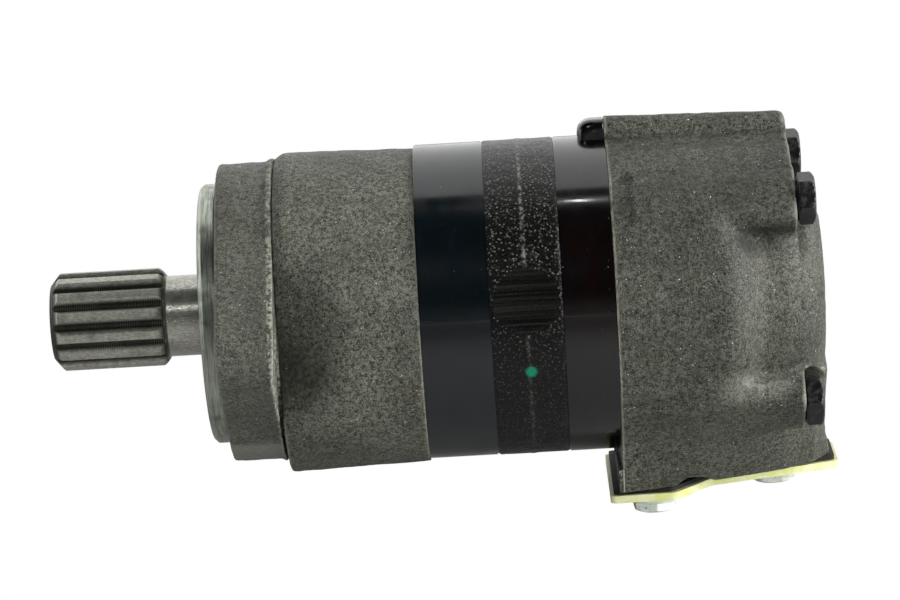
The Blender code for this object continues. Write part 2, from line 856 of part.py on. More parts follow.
def valve_plate():
    start = RING_REAR_X + GAP
    passages = [
        circle(0.0024, 8, around(0.0265, roller_angle(i) + 180.0 / ROLLERS))
        for i in range(ROLLERS)
    ]
    loops = [circle(STACK_RADIUS + 0.0001, OUTSIDE_STEPS), circle(0.0140, 24), *passages]
    plate = prism("valve_plate", loops + bolt_hole_loops(), PLATE_REAR_X - start, "oxide_steel",
                  x=start)
    half_lug = 0.0045
    lug_front = MOUNT_X + 0.1141
    lug = prism(
        "valve_plate_lug",
        [[(-half_lug, 0.0450), (half_lug, 0.0450), (half_lug, 0.0545), (0.0030, 0.0560),
          (-0.0030, 0.0560), (-half_lug, 0.0545)]],
        PLATE_REAR_X - lug_front,
        "oxide_steel",
        x=lug_front,
    )
    add(plate, lug, "Cast lug")
    cut(plate, seal_groove("valve_plate_groove_cutter", start, 1), "Seal groove")
    return plate


def disc_valve():
    """Rotating valve: rim slots and through windows alternate around its front face."""
    start = PLATE_REAR_X + GAP
    disc_depth = 0.0100
    windows = []
    for i in range(LOBES):
        turn = 360.0 * i / LOBES + 180.0 / LOBES
        outer = arc((0.0, 0.0), 0.0280, turn - 6.0, turn + 6.0, 1)
        inner = arc((0.0, 0.0), 0.0215, turn + 6.0, turn - 6.0, 1)
        windows.append(outer + inner)
    loops = [circle(VALVE_RADIUS, 32), circle(0.0118, 20), *windows]
    valve = prism("disc_valve", loops, disc_depth, "ground_steel", x=start)
    hub_overlap = 0.0010
    hub_x = start + disc_depth - hub_overlap
    hub = prism(
        "valve_hub",
        [circle(VALVE_HUB, 24), drive_teeth(DRIVE_PLAY, 0.68)],
        VALVE_END_CENTRE_X + 0.0046 - hub_x,
        "ground_steel",
        x=hub_x,
    )
    add(valve, hub, "Hub")
    slots = []
    for i in range(LOBES):
        slot = prism(f"slot_{i}", [[(0.0215, -0.0026), (0.0330, -0.0034), (0.0330, 0.0034),
                                    (0.0215, 0.0026)]],
                     0.0055 + PAST, "ground_steel", x=start - PAST)
        slot.rotation_euler = (math.radians(360.0 * i / LOBES), 0.0, 0.0)
        slots.append(slot)
    cut(valve, joined("valve_slot_cutter", slots, "ground_steel"), "Rim slots")
    return valve


BALANCE_SPRING_ANGLES = (90.0, 270.0)
BALANCE_PIN_ANGLES = (0.0, 180.0)
BALANCE_CIRCLE = 0.0242
BALANCE_PIN = 0.0015
BALANCE_REAR_X = MOUNT_X + 0.1446
BALANCE_WALL_X = MOUNT_X + 0.1460


def balance_ring():
    """Ring that presses the disc valve forward, with a seal groove outside and inside."""
    inner = VALVE_HUB + 0.0006
    outer = BALANCE_BORE - GAP
    front = MOUNT_X + 0.1331
    ring = turned(
        "balance_ring",
        [
            (front, inner),
            (front, VALVE_BORE - GAP),
            (MOUNT_X + 0.1380, VALVE_BORE - GAP),
            (MOUNT_X + 0.1380, outer),
            (MOUNT_X + 0.1400, outer),
            (MOUNT_X + 0.1400, outer - 0.0012),
            (MOUNT_X + 0.1424, outer - 0.0012),
            (MOUNT_X + 0.1424, outer),
            (BALANCE_REAR_X, outer),
            (BALANCE_REAR_X, inner),
            (MOUNT_X + 0.1424, inner),
            (MOUNT_X + 0.1424, inner + 0.0011),
            (MOUNT_X + 0.1400, inner + 0.0011),
            (MOUNT_X + 0.1400, inner),
        ],
        "machined_steel",
    )
    holes = []
    for i, angle in enumerate(BALANCE_PIN_ANGLES):
        y, z = around(BALANCE_CIRCLE, angle)
        place = {"x": BALANCE_REAR_X - 0.0045, "y": y, "z": z}
        holes.append(rod(f"pin_hole_{i}", BALANCE_PIN + GAP, 0.008, 12, **place))
    cut(ring, joined("balance_pin_cutter", holes, "machined_steel"), "Pin holes")
    seal_start = MOUNT_X + 0.1403
    seal_end = MOUNT_X + 0.1421
    turned("balance_ring_outer_seal",
           annulus_profile(outer - 0.0009, outer + 0.0001, seal_start, seal_end), "seal_plastic")
    turned("balance_ring_inner_seal",
           annulus_profile(inner - 0.0001, inner + 0.0008, seal_start, seal_end), "seal_plastic")
    return ring


def balance_pins():
    for i, angle in enumerate(BALANCE_PIN_ANGLES, start=1):
        y, z = around(BALANCE_CIRCLE, angle)
        length = 0.0088
        profile = [(0.0, 0.0), (0.0, BALANCE_PIN), (length, BALANCE_PIN), (length, 0.0)]
        start = BALANCE_REAR_X - 0.0042
        turned(f"balance_pin_{i}", profile, "ground_steel", 10, x=start, y=y, z=z)


def balance_springs():
    """Small coil springs behind the balance ring, wound along +X."""
    coil, wire, turns, steps, sides = 0.0019, 0.00035, 3, 10, 4
    length = 0.0060
    for number, angle in enumerate(BALANCE_SPRING_ANGLES, start=1):
        sections = []
        for step in range(turns * steps + 1):
            turn = 2.0 * math.pi * step / steps
            x = length * step / (turns * steps)
            centre = Vector((x, coil * math.cos(turn), coil * math.sin(turn)))
            outward = Vector((0.0, math.cos(turn), math.sin(turn)))
            sections.append(
                [
                    centre
                    + wire * math.cos(2.0 * math.pi * side / sides) * outward
                    + wire * math.sin(2.0 * math.pi * side / sides) * X_AXIS
                    for side in range(sides)
                ]
            )
        bm = bmesh.new()
        rings = [[bm.verts.new(point) for point in section] for section in sections]
        for ring, following in zip(rings, rings[1:]):
            for i in range(sides):
                j = (i + 1) % sides
                bm.faces.new((ring[i], ring[j], following[j], following[i]))
        bm.faces.new(rings[0])
        bm.faces.new(rings[-1])
        y, z = around(BALANCE_CIRCLE, angle)
        start = BALANCE_REAR_X + GAP + wire
        object_from(bm, f"balance_spring_{number}", "spring_steel", x=start, y=y, z=z)


def port_block():
    """The casting from the drum down to the port face. Its near side slants in to the rear, and
    its foot reaches a little further back than the rear end."""
    front = PLATE_REAR_X + GAP
    rear = REAR_END_X - 0.0002
    foot_rear = MOUNT_X + 0.1908
    foot_top = -0.0500
    notch = MOUNT_X + 0.1450
    lower = [
        (front, -0.0250),
        (notch - 0.0055, -0.0209),
        (notch, -0.0155),
        (notch + 0.0050, -0.0175),
        (MOUNT_X + 0.1643, -0.0125),
        (MOUNT_X + 0.1741, -0.0085),
        (MOUNT_X + 0.1845, -0.0010),
        (foot_rear, 0.0090),
        (foot_rear, 0.0260),
        (front, 0.0260),
    ]
    upper = [
        (front, -0.0430),
        (notch - 0.0055, -0.0430),
        (notch, -0.0430),
        (notch + 0.0050, -0.0430),
        (MOUNT_X + 0.1643, -0.0395),
        (MOUNT_X + 0.1741, -0.0360),
        (MOUNT_X + 0.1845, -0.0270),
        (rear, -0.0200),
        (rear, 0.0330),
        (front, 0.0430),
    ]
    top = -0.0240
    share = (foot_top - PORT_FACE_Z) / (top - PORT_FACE_Z)
    middle = [(b[0], a[1] + (b[1] - a[1]) * share) for a, b in zip(lower, upper)]
    bm = bmesh.new()
    rings = []
    for outline, z in ((lower, PORT_FACE_Z), (middle, foot_top), (upper, top)):
        rings.append([bm.verts.new((x, y, z)) for x, y in outline])
    for below, above in zip(rings, rings[1:]):
        for i in range(len(lower)):
            j = (i + 1) % len(lower)
            bm.faces.new((below[i], below[j], above[j], above[i]))
    bm.faces.new(rings[0])
    bm.faces.new(rings[-1])
    bmesh.ops.triangulate(bm, faces=bm.faces[:])
    return object_from(bm, "port_block", "cast_iron")


def port_lip():
    """The part of the port face that reaches forward, just clear of the valve plate."""
    front = COVER_FRONT_X - 0.0002
    near = -0.0170
    bevel = 0.0025
    outline = [
        (front, near + bevel),
        (front + bevel, near),
        (PLATE_REAR_X + 0.0020, near),
        (PLATE_REAR_X + 0.0020, 0.0255),
        (front, 0.0255),
    ]
    return level("port_lip", outline, -0.0512, PORT_FACE_Z + 0.0001, "cast_iron")


def cover_outline(inset):
    """The cover plate seen along Z, as (x, y). The gasket is the same shape, inset all round."""
    front = COVER_FRONT_X + inset
    rear = COVER_REAR_X - inset
    return [
        (front, -0.0233 + inset),
        (MOUNT_X + 0.1391 - inset, -0.0230 + inset),
        (MOUNT_X + 0.1508 - inset, -0.0090 + inset),
        (rear, 0.0042 + inset),
        (rear, 0.0280 - inset),
        (front, 0.0280 - inset),
    ]


def level(name, outline, top, bottom, finish, holes=()):
    """A solid between two heights from an outline seen along Z, as (x, y)."""
    bm = bmesh.new()
    for loop in (outline, *holes):
        corners = [bm.verts.new((x, y, bottom)) for x, y in loop]
        for a, b in zip(corners, corners[1:] + corners[:1]):
            bm.edges.new((a, b))
    bmesh.ops.triangle_fill(bm, use_beauty=True, edges=bm.edges[:], normal=(0.0, 0.0, 1.0))
    grown = bmesh.ops.extrude_face_region(bm, geom=bm.faces[:])["geom"]
    moved = [part for part in grown if isinstance(part, bmesh.types.BMVert)]
    bmesh.ops.translate(bm, vec=(0.0, 0.0, top - bottom), verts=moved)
    return object_from(bm, name, finish)


def valve_housing():
    """Rear casting: drum, neck between the bolt bosses, top ridge, rounded end and port block."""
    start = PLATE_REAR_X + GAP
    neck = 0.0400
    housing = turned(
        "valve_housing",
        [
            (start, 0.0),
            (start, DRUM_RADIUS),
            (MOUNT_X + 0.1540, DRUM_RADIUS),
            (MOUNT_X + 0.1600, DRUM_RADIUS - 0.0020),
            (MOUNT_X + 0.1665, neck),
            (REAR_END_X - 0.0180, neck),
            (REAR_END_X - 0.0111, neck - 0.0014),
            (REAR_END_X - 0.0053, neck - 0.0053),
            (REAR_END_X - 0.0014, neck - 0.0111),
            (REAR_END_X, neck - 0.0180),
            (REAR_END_X, 0.0),
        ],
        "cast_iron",
        OUTSIDE_STEPS,
    )
    add(housing, top_shoulder(), "Shoulder between the upper bolts")
    add(housing, bolt_bosses(), "Bolt bosses")
    add(housing, ridge(start), "Top ridge")
    add(housing, port_block(), "Port block")
    add(housing, port_lip(), "Port lip")
    cut_housing_inside(housing, start)
    return housing


def bolt_bosses():
    """Round metal behind the shoulder for each bolt, kept inside the drum's outline."""
    front = MOUNT_X + 0.1500
    rods = [
        rod(f"boss_{i}", BOSS_RADIUS, BOLT_FACE_X - 0.0001 - front, 20, x=front, y=y, z=z)
        for i, (y, z) in enumerate(bolt_places())
    ]
    limit = rod("boss_limit", DRUM_RADIUS + 0.0002, 0.050, OUTSIDE_STEPS, x=front - PAST)
    bosses = joined("bolt_bosses", rods, "cast_iron")
    return combine(bosses, limit, "INTERSECT", "Drum outline")


def top_shoulder():
    """Full-radius metal between the two upper bolts, as far back as the bolt face."""
    outline = [(0.0, 0.0), *arc((0.0, 0.0), DRUM_RADIUS - 0.0002, 54.0, 132.5, 14)]
    start = MOUNT_X + 0.1480
    return prism("top_shoulder", [outline], BOLT_FACE_X - 0.0005 - start, "cast_iron", x=start)


def ridge(start):
    """Rounded rib along the top, a little lower at the rear."""
    radius = 0.0043
    front = (start + 0.0002, 0.0, 0.0525)
    rear = (BOLT_FACE_X - 0.0006, 0.0, 0.0509)
    length = (Vector(rear) - Vector(front)).length
    profile = [
        (0.0, 0.0),
        (0.0, radius),
        (length - 0.0025, radius),
        (length - 0.0008, radius - 0.0012),
        (length, radius - 0.0028),
        (length, 0.0),
    ]
    return between(turned("top_ridge", profile, "cast_iron", 20), front, rear)


def cut_housing_inside(housing, start):
    bore = turned(
        "valve_bore_cutter",
        [
            (start - PAST, 0.0),
            (start - PAST, VALVE_BORE),
            (MOUNT_X + 0.1386, VALVE_BORE),
            (MOUNT_X + 0.1386, BALANCE_BORE),
            (BALANCE_WALL_X, BALANCE_BORE),
            (BALANCE_WALL_X, 0.0190),
            (MOUNT_X + 0.1660, 0.0190),
            (MOUNT_X + 0.1660, 0.0),
        ],
        "cast_iron",
    )
    cut(housing, bore, "Valve bore")
    cut(housing, bolt_hole_cutter("housing_bolt_cutter", start - PAST, 0.080), "Tie bolt holes")
    seats = [
        rod(f"seat_{i}", BOLT_SEAT_RADIUS, 0.020, 20, x=BOLT_FACE_X - 0.0002, y=y, z=z)
        for i, (y, z) in enumerate(bolt_places())
    ]
    cut(housing, joined("bolt_seat_cutter", seats, "cast_iron"), "Bolt head faces")
    corners = [(-0.0600, 0.0235), (0.0600, 0.0235), (0.0600, 0.0600), (-0.0600, 0.0600)]
    above = prism("rear_top_cutter", [corners], 0.0200, "cast_iron", x=BOLT_FACE_X)
    cut(housing, above, "Room between the upper bolt heads")
    cut(housing, seal_groove("valve_housing_groove_cutter", start, 1), "Seal groove")
    cut(housing, port_cutter(), "Ports and cover screw threads")
    cut(housing, balance_hole_cutter(), "Spring and pin holes")
    cut(housing, drain_cutter(), "Case drain port")


def port_cutter():
    pieces = []
    tops = (-0.0285, -0.0150)
    for i, ((x, y), top) in enumerate(zip(PORT_PLACES, tops)):
        port = rod(f"port_{i}", PORT_RADIUS, top - PORT_FACE_Z + PAST, 20, x=x, y=y, z=top)
        pieces.append(downward(port))
    for i, (x, y) in enumerate(COVER_SCREW_PLACES):
        thread = rod(f"thread_{i}", COVER_SCREW_RADIUS + GAP, 0.018, 12, x=x, y=y,
                     z=PORT_FACE_Z + 0.0160)
        pieces.append(downward(thread))
    return joined("port_cutter", pieces, "cast_iron")


def balance_hole_cutter():
    pieces = []
    for i, angle in enumerate(BALANCE_SPRING_ANGLES):
        y, z = around(BALANCE_CIRCLE, angle)
        pieces.append(rod(f"spring_hole_{i}", 0.0026, 0.0072, 12, x=BALANCE_WALL_X - 0.001, y=y,
                          z=z))
    for i, angle in enumerate(BALANCE_PIN_ANGLES):
        y, z = around(BALANCE_CIRCLE, angle)
        pieces.append(rod(f"pin_hole_{i}", BALANCE_PIN + GAP, 0.0050, 12, x=BALANCE_WALL_X - 0.001,
                          y=y, z=z))
    return joined("balance_hole_cutter", pieces, "cast_iron")


DRAIN_X = MOUNT_X + 0.1423
DRAIN_FACE_Y = 0.0482


def sideways(obj):
    """Turns a piece that was modelled along +X so that it runs along +Y."""
    obj.rotation_euler = (0.0, 0.0, math.radians(90.0))
    return obj


def drain_cutter():
    """Spot face, thread and passage of the case drain, on the far side of the drum."""
    profile = [
        (0.0260, 0.0),
        (0.0260, 0.0016),
        (0.0365, 0.0016),
        (0.0365, 0.0050),
        (DRAIN_FACE_Y, 0.0050),
        (DRAIN_FACE_Y, 0.0090),
        (0.0600, 0.0090),
        (0.0600, 0.0),
    ]
    return sideways(turned("drain_cutter", profile, "cast_iron", 20, x=DRAIN_X))


def drain_plug():
    head = 0.0074
    profile = [
        (0.0375, 0.0),
        (0.0375, 0.0046),
        (DRAIN_FACE_Y + 0.0018, 0.0046),
        (DRAIN_FACE_Y + 0.0018, head),
        (DRAIN_FACE_Y + 0.0047, head),
        (DRAIN_FACE_Y + 0.0055, head - 0.0008),
        (DRAIN_FACE_Y + 0.0055, 0.0),
    ]
    plug = sideways(turned("drain_plug", profile, "zinc", 20, x=DRAIN_X))
    socket = prism("drain_socket_cutter", [hexagon(0.0056)], 0.0080, "zinc", x=DRAIN_X,
                   y=DRAIN_FACE_Y + 0.0015)
    cut(plug, sideways(socket), "Socket")
    seal = annulus_profile(0.0049, 0.0070, DRAIN_FACE_Y + 0.0003, DRAIN_FACE_Y + 0.0015)
    sideways(turned("drain_plug_seal", seal, "black_rubber", 20, x=DRAIN_X))


def tie_bolts():
    """Hex head bolts from the rear face through the whole stack into the bearing housing."""
    length = BOLT_FACE_X + GAP - BOLT_TIP_X
    for i, (y, z) in enumerate(bolt_places(), start=1):
        bolt = prism(
            f"tie_bolt_{i}",
            [hexagon(BOLT_HEAD_FLATS, turn=10.0 if z > 0 else 50.0)],
            BOLT_HEAD_HEIGHT,
            "black_bolt",
            x=BOLT_FACE_X + GAP,
            y=y,
            z=z,
        )
        shank = rod(f"bolt_shank_{i}", BOLT_RADIUS, length + 0.001, 12, x=BOLT_TIP_X, y=y, z=z)
        add(bolt, shank, "Shank")


def screw_holes():
    steps = 12
    holes = []
    for x, y in COVER_SCREW_PLACES:
        holes.append(circle(COVER_SCREW_RADIUS + GAP, steps, (x, y)))
    return holes


def port_cover():
    gasket_top = PORT_FACE_Z - 0.0002
    gasket_bottom = gasket_top - GASKET_THICKNESS
    cover_top = gasket_bottom - 0.0002
    cover_bottom = cover_top - COVER_THICKNESS
    level("port_gasket", cover_outline(0.0011), gasket_top, gasket_bottom, "black_rubber",
          screw_holes())
    level("port_cover_plate", cover_outline(0.0), cover_top, cover_bottom, "yellow_zinc",
          screw_holes())
    head_top = cover_bottom - 0.0002
    for i, (x, y) in enumerate(COVER_SCREW_PLACES, start=1):
        screw = turned(
            f"cover_screw_{i}",
            [
                (-0.0190, 0.0),
                (-0.0190, COVER_SCREW_RADIUS),
                (0.0, COVER_SCREW_RADIUS),
                (0.0, COVER_SCREW_FLANGE),
                (0.0012, COVER_SCREW_FLANGE),
                (0.0020, 0.0072),
                (0.0020, 0.0),
            ],
            "zinc",
            20,
            x=x,
            y=y,
            z=head_top,
        )
        head = prism(f"cover_screw_head_{i}", [hexagon(COVER_SCREW_FLATS, turn=15.0)], 0.0040,
                     "zinc", x=x, y=y, z=head_top - 0.0010)
        add(downward(screw), downward(head), "Hex head")


def main():
    clear_scene()
    mounting_flange()
    flange_screws()
    shaft_seals()
    bearing_housing()
    bearings()
    output_shaft()
    wear_plate()
    rotor_ring()
    rollers()
    star_rotor()
    main_drive()
    drive_spacer()
    valve_drive()
    valve_plate()
    disc_valve()
    balance_ring()
    balance_pins()
    balance_springs()
    valve_housing()
    drain_plug()
    tie_bolts()
    port_cover()
    section_seal(1, HOUSING_REAR_X, -1)
    section_seal(2, WEAR_REAR_X, -1)
    section_seal(3, RING_REAR_X + GAP, 1)
    section_seal(4, PLATE_REAR_X + GAP, 1)


main()
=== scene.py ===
import json
import math

import bmesh
import bpy
import numpy as np
from mathutils import Matrix, Quaternion, Vector

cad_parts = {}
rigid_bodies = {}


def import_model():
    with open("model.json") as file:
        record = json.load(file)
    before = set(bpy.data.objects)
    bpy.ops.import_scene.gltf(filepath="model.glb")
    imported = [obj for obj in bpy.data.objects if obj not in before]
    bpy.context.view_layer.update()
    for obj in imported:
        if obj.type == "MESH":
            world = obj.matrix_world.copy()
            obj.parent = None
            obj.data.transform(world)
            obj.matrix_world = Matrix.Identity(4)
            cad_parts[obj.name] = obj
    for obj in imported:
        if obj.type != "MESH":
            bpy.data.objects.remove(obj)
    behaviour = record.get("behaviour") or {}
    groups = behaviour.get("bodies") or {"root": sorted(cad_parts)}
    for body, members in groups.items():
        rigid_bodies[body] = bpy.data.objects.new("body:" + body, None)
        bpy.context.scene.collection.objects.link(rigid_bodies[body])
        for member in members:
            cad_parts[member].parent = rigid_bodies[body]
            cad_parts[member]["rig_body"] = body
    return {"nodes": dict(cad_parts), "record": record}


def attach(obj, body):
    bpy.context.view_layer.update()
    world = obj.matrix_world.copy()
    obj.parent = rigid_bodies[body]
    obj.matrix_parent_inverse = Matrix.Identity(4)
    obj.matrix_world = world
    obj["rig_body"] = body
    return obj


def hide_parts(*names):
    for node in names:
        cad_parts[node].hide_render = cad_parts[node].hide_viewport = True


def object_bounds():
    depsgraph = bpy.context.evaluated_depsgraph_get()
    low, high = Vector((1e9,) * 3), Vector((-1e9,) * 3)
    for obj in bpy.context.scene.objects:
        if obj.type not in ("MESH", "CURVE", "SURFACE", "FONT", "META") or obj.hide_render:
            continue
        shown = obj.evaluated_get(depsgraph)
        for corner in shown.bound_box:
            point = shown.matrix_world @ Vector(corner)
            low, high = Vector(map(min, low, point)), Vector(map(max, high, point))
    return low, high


# Looks for the orbital hydraulic motor. Lengths are in millimetres in the row frame unless a name
# says otherwise, and MM turns them into metres where a mesh or a light is made.

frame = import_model()
cad_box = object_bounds()

MM = 0.001

# Stations along the shaft axis. The CAD leaves 0.3 mm between touching pieces; here they close up
# to a hairline.
HAIRLINE = 0.02
PILOT_FRONT = 49.4
MOUNT = 55.5
FLANGE_REAR = 73.45
FLANGE_BEAD = 72.4
HOUSING = (FLANGE_REAR + HAIRLINE, 117.65)
WEAR = (117.65 + HAIRLINE, 139.35)
RING = (139.35 + HAIRLINE, 161.85)
PLATE = (161.85 + HAIRLINE, 178.05)
VALVE_FRONT = 178.05 + HAIRLINE
BOLT_FACE = 235.8
REAR_END = 244.3
FOOT_REAR = 246.3                # rear end of the port block, at the port face

BOLT_CIRCLE = 44.3
BOLT_ANGLES = (47.5, 126.0, 226.0, 314.0)       # degrees from -Y towards +Z
BOLT_HOLE = 4.5
LEAST_WALL = 1.6                # a bolt hole stays this far inside a casting's skin
STACK_RADIUS = 49.9
PLATE_RADIUS = 50.0             # rotor ring and valve plate
SEAL_GROOVE = 38.2              # radius of the seal groove in a stack face

PILOT_RADIUS = 41.25
FLANGE_RADIUS = 47.5
EAR_CENTRE = 51.0               # from the axis to the middle of an ear's round end
EAR_RADIUS = 14.0
EAR_HOLE_PLACE = 53.2
EAR_HOLE = 6.75
SCREW_CIRCLE = 36.0             # the four screws sunk in the flange
SCREW_HOLE = 2.8
SCREW_ANGLES = (45.0, 135.0, 225.0, 315.0)

# Bores as (radius, start, end)
FLANGE_BORES = ((17.6, MOUNT - 5, MOUNT + 5.2), (26.0, MOUNT + 5.0, FLANGE_REAR + 5))
HOUSING_BORES = ((31.3, HOUSING[0] - 5, 89.7), (27.0, 89.5, 97.6), (36.3, 97.5, HOUSING[1] + 5))
VALVE_BORES = ((31.3, VALVE_FRONT - 5, 194.1), (28.0, 194.0, 201.5), (19.0, 201.4, 221.5))


# ---- Meshes ----


def finish_mesh(name, mesh, sharp=32.0):
    """Links a mesh, in metres in the row frame, as a smooth piece with its sharp edges kept."""
    mesh.validate()
    mesh.shade_smooth()
    mesh.set_sharp_from_angle(angle=math.radians(sharp))
    obj = bpy.data.objects.new(name, mesh)
    bpy.context.scene.collection.objects.link(obj)
    return obj


def mesh_from(name, points, faces):
    mesh = bpy.data.meshes.new(name)
    mesh.from_pydata((np.asarray(points) * MM).tolist(), [], faces)
    mesh.update()
    return mesh


def face_outward(bm):
    bmesh.ops.recalc_face_normals(bm, faces=bm.faces)


def polar(name, rings, steps=96, centre=(0.0, 0.0), matrix=None, sharp=32.0):
    """Closed solid about a line along +X, through rings of (x, radius). A radius is one number or
    one for each step, and matrix, if given, lays the finished solid somewhere else."""
    angles = np.arange(steps) * 2.0 * math.pi / steps
    points = []
    for x, radius in rings:
        radius = np.broadcast_to(radius, steps)
        ring = np.empty((steps, 3))
        ring[:, 0] = x
        ring[:, 1] = centre[0] + radius * np.cos(angles)
        ring[:, 2] = centre[1] + radius * np.sin(angles)
        points.append(ring)
    faces = []
    for r in range(len(rings) - 1):
        for i in range(steps):
            j = (i + 1) % steps
            a, b = r * steps, (r + 1) * steps
            faces.append((a + i, a + j, b + j, b + i))
    faces.append(tuple(reversed(range(steps))))
    last = (len(rings) - 1) * steps
    faces.append(tuple(range(last, last + steps)))
    mesh = mesh_from(name, np.concatenate(points), faces)
    bm = bmesh.new()
    bm.from_mesh(mesh)
    face_outward(bm)
    if matrix is not None:
        bmesh.ops.transform(bm, matrix=matrix, verts=bm.verts)
    bm.to_mesh(mesh)
    bm.free()
    return finish_mesh(name, mesh, sharp)


def circle(radius, steps, centre=(0.0, 0.0)):
    turns = [2.0 * math.pi * i / steps for i in range(steps)]
    return [(centre[0] + radius * math.cos(t), centre[1] + radius * math.sin(t)) for t in turns]


def along_x(a, b, along):
    return along, a, b


def along_z(a, b, along):
    return a, b, along


def slab(name, loops, start, end, rim, place=along_x):
    """The area inside the first loop and outside the others, as a plate from start to end, with
    place putting each corner and rim rounding every edge by that much."""
    bm = bmesh.new()
    for loop in loops:
        corners = [bm.verts.new(Vector(place(a, b, start)) * MM) for a, b in loop]
        for one, two in zip(corners, corners[1:] + corners[:1]):
            bm.edges.new((one, two))
    bmesh.ops.triangle_fill(bm, use_beauty=True, edges=bm.edges[:])
    grown = bmesh.ops.extrude_face_region(bm, geom=bm.faces[:])["geom"]
    moved = [part for part in grown if isinstance(part, bmesh.types.BMVert)]
    step = Vector(place(0.0, 0.0, end)) - Vector(place(0.0, 0.0, start))
    bmesh.ops.translate(bm, vec=step * MM, verts=moved)
    face_outward(bm)
    edges = [e for e in bm.edges if e.calc_face_angle(0.0) > math.radians(40.0)]
    bmesh.ops.bevel(bm, geom=edges, offset=rim * MM, segments=2, affect="EDGES",
                    clamp_overlap=True)
    mesh = bpy.data.meshes.new(name)
    bm.to_mesh(mesh)
    bm.free()
    return finish_mesh(name, mesh)


# Corners of a grid cell, and the pairs of them that an edge joins
CORNERS = [(i, j, k) for i in (0, 1) for j in (0, 1) for k in (0, 1)]
EDGES = [(a, b) for a in CORNERS for b in CORNERS if sum(b) - sum(a) == 1 and
         sum(abs(p - q) for p, q in zip(a, b)) == 1]


def field_points(value, inside, cell):
    """Where the surface passes in each listed cell: the mean of where it crosses the edges."""
    total = np.zeros(cell.shape)
    hits = np.zeros(len(cell))
    for first, second in EDGES:
        a = tuple((cell + first).T)
        b = tuple((cell + second).T)
        crossed = inside[a] != inside[b]
        share = value[a][crossed] / (value[a][crossed] - value[b][crossed])
        step = np.subtract(second, first)
        total[crossed] += np.array(first) + share[:, None] * step
        hits[crossed] += 1
    return cell + total / hits[:, None]


def field_quads(inside, index):
    """One face round each grid edge that the surface crosses, facing out of the solid."""
    made = []
    for axis in range(3):
        u, v = (axis + 1) % 3, (axis + 2) % 3
        low = np.take(inside, range(inside.shape[axis] - 1), axis)
        high = np.take(inside, range(1, inside.shape[axis]), axis)
        for crossing, flip in ((low & ~high, False), (~low & high, True)):
            node = np.argwhere(crossing)
            du, dv = np.eye(3, dtype=int)[u], np.eye(3, dtype=int)[v]
            ring = [node - du - dv, node - dv, node, node - du]
            quad = np.stack([index[tuple(corner.T)] for corner in ring], axis=1)
            made.append(quad[:, ::-1] if flip else quad)
    return np.concatenate(made)


SETTLING_STEPS = 4              # times that each point is drawn towards the exact surface
LONGEST_MOVE = 0.35             # of a cell, at each of those times


def field_gradient(field, points):
    small = 0.02
    parts = []
    for axis in range(3):
        shift = np.zeros(3)
        shift[axis] = small
        parts.append(field(*(points + shift).T) - field(*(points - shift).T))
    return np.stack(parts, axis=1) / (2.0 * small)


def field_solid(name, field, low, high, cell):
    """Solid where field(x, y, z) is below zero, meshed on a grid and drawn onto the surface."""
    margin = 2.3 * cell
    axes = [np.arange(a - margin, b + margin, cell) for a, b in zip(low, high)]
    value = field(*np.meshgrid(*axes, indexing="ij"))
    inside = value < 0.0
    size = np.array(inside.shape) - 1
    held = sum(inside[i:i + size[0], j:j + size[1], k:k + size[2]].astype(int)
               for i, j, k in CORNERS)
    active = (held > 0) & (held < 8)
    index = np.full(active.shape, -1)
    index[active] = np.arange(active.sum())
    points = field_points(value, inside, np.argwhere(active))
    points = points * cell + np.array([a[0] for a in axes])
    for _ in range(SETTLING_STEPS):
        slope = field_gradient(field, points)
        steepness = (slope**2).sum(axis=1) + 1e-6
        move = -field(*points.T)[:, None] * slope / steepness[:, None]
        reach = np.linalg.norm(move, axis=1)[:, None] + 1e-9
        points += move * np.minimum(1.0, LONGEST_MOVE * cell / reach)
    mesh = mesh_from(name, points, field_quads(inside, index).tolist())
    return finish_mesh(name, mesh, 40.0)


# ---- Distance fields, in millimetres, negative inside ----
#
# A slanting face is scaled by the cosine of its slope, so that it stays close to a distance.

NOISE = np.random.default_rng(11).random((32, 32, 32)) * 2.0 - 1.0


def lumps(x, y, z, size):
    """Smooth noise from -1 to 1 with bumps of about this size."""
    cells, shares = [], []
    for value in (x, y, z):
        spread = np.asarray(value) / size + 500.0
        base = np.floor(spread)
        share = spread - base
        cells.append(base.astype(int))
        shares.append(share * share * (3.0 - 2.0 * share))
    total = 0.0
    for corner in CORNERS:
        place = tuple((cell + step) % 32 for cell, step in zip(cells, corner))
        weight = 1.0
        for share, step in zip(shares, corner):
            weight = weight * (share if step else 1.0 - share)
        total = total + weight * NOISE[place]
    return total


def join(a, b, blend):
    """Union with a fillet of about this size."""
    h = np.maximum(blend - np.abs(a - b), 0.0) / blend
    return np.minimum(a, b) - h * h * blend * 0.25


def overlap(a, b, blend):
    """Intersection with a rounded edge."""
    return -join(-a, -b, blend)


def without(a, b, blend=0.3):
    """a with b taken away."""
    return overlap(a, -b, blend)


def tube_hole(x, y, z, radius, start, end, centre=(0.0, 0.0)):
    """A round hole along X."""
    across = np.hypot(y - centre[0], z - centre[1]) - radius
    return np.maximum(np.maximum(start - x, x - end), across)


def seal_groove(x, y, z, face):
    """The ring-shaped seal groove in a face of the stack."""
    depth, half_width = 1.7, 0.9
    off_middle = np.abs(np.hypot(y, z) - SEAL_GROOVE)
    return np.maximum(np.abs(x - face) - depth, off_middle - half_width)


def around(radius, angle):
    """(y, z) at this radius, angle in degrees from -Y towards +Z."""
    turn = math.radians(angle)
    return -radius * math.cos(turn), radius * math.sin(turn)


BOLTS = [around(BOLT_CIRCLE, angle) for angle in BOLT_ANGLES]
SCREWS = [around(SCREW_CIRCLE, angle) for angle in SCREW_ANGLES]


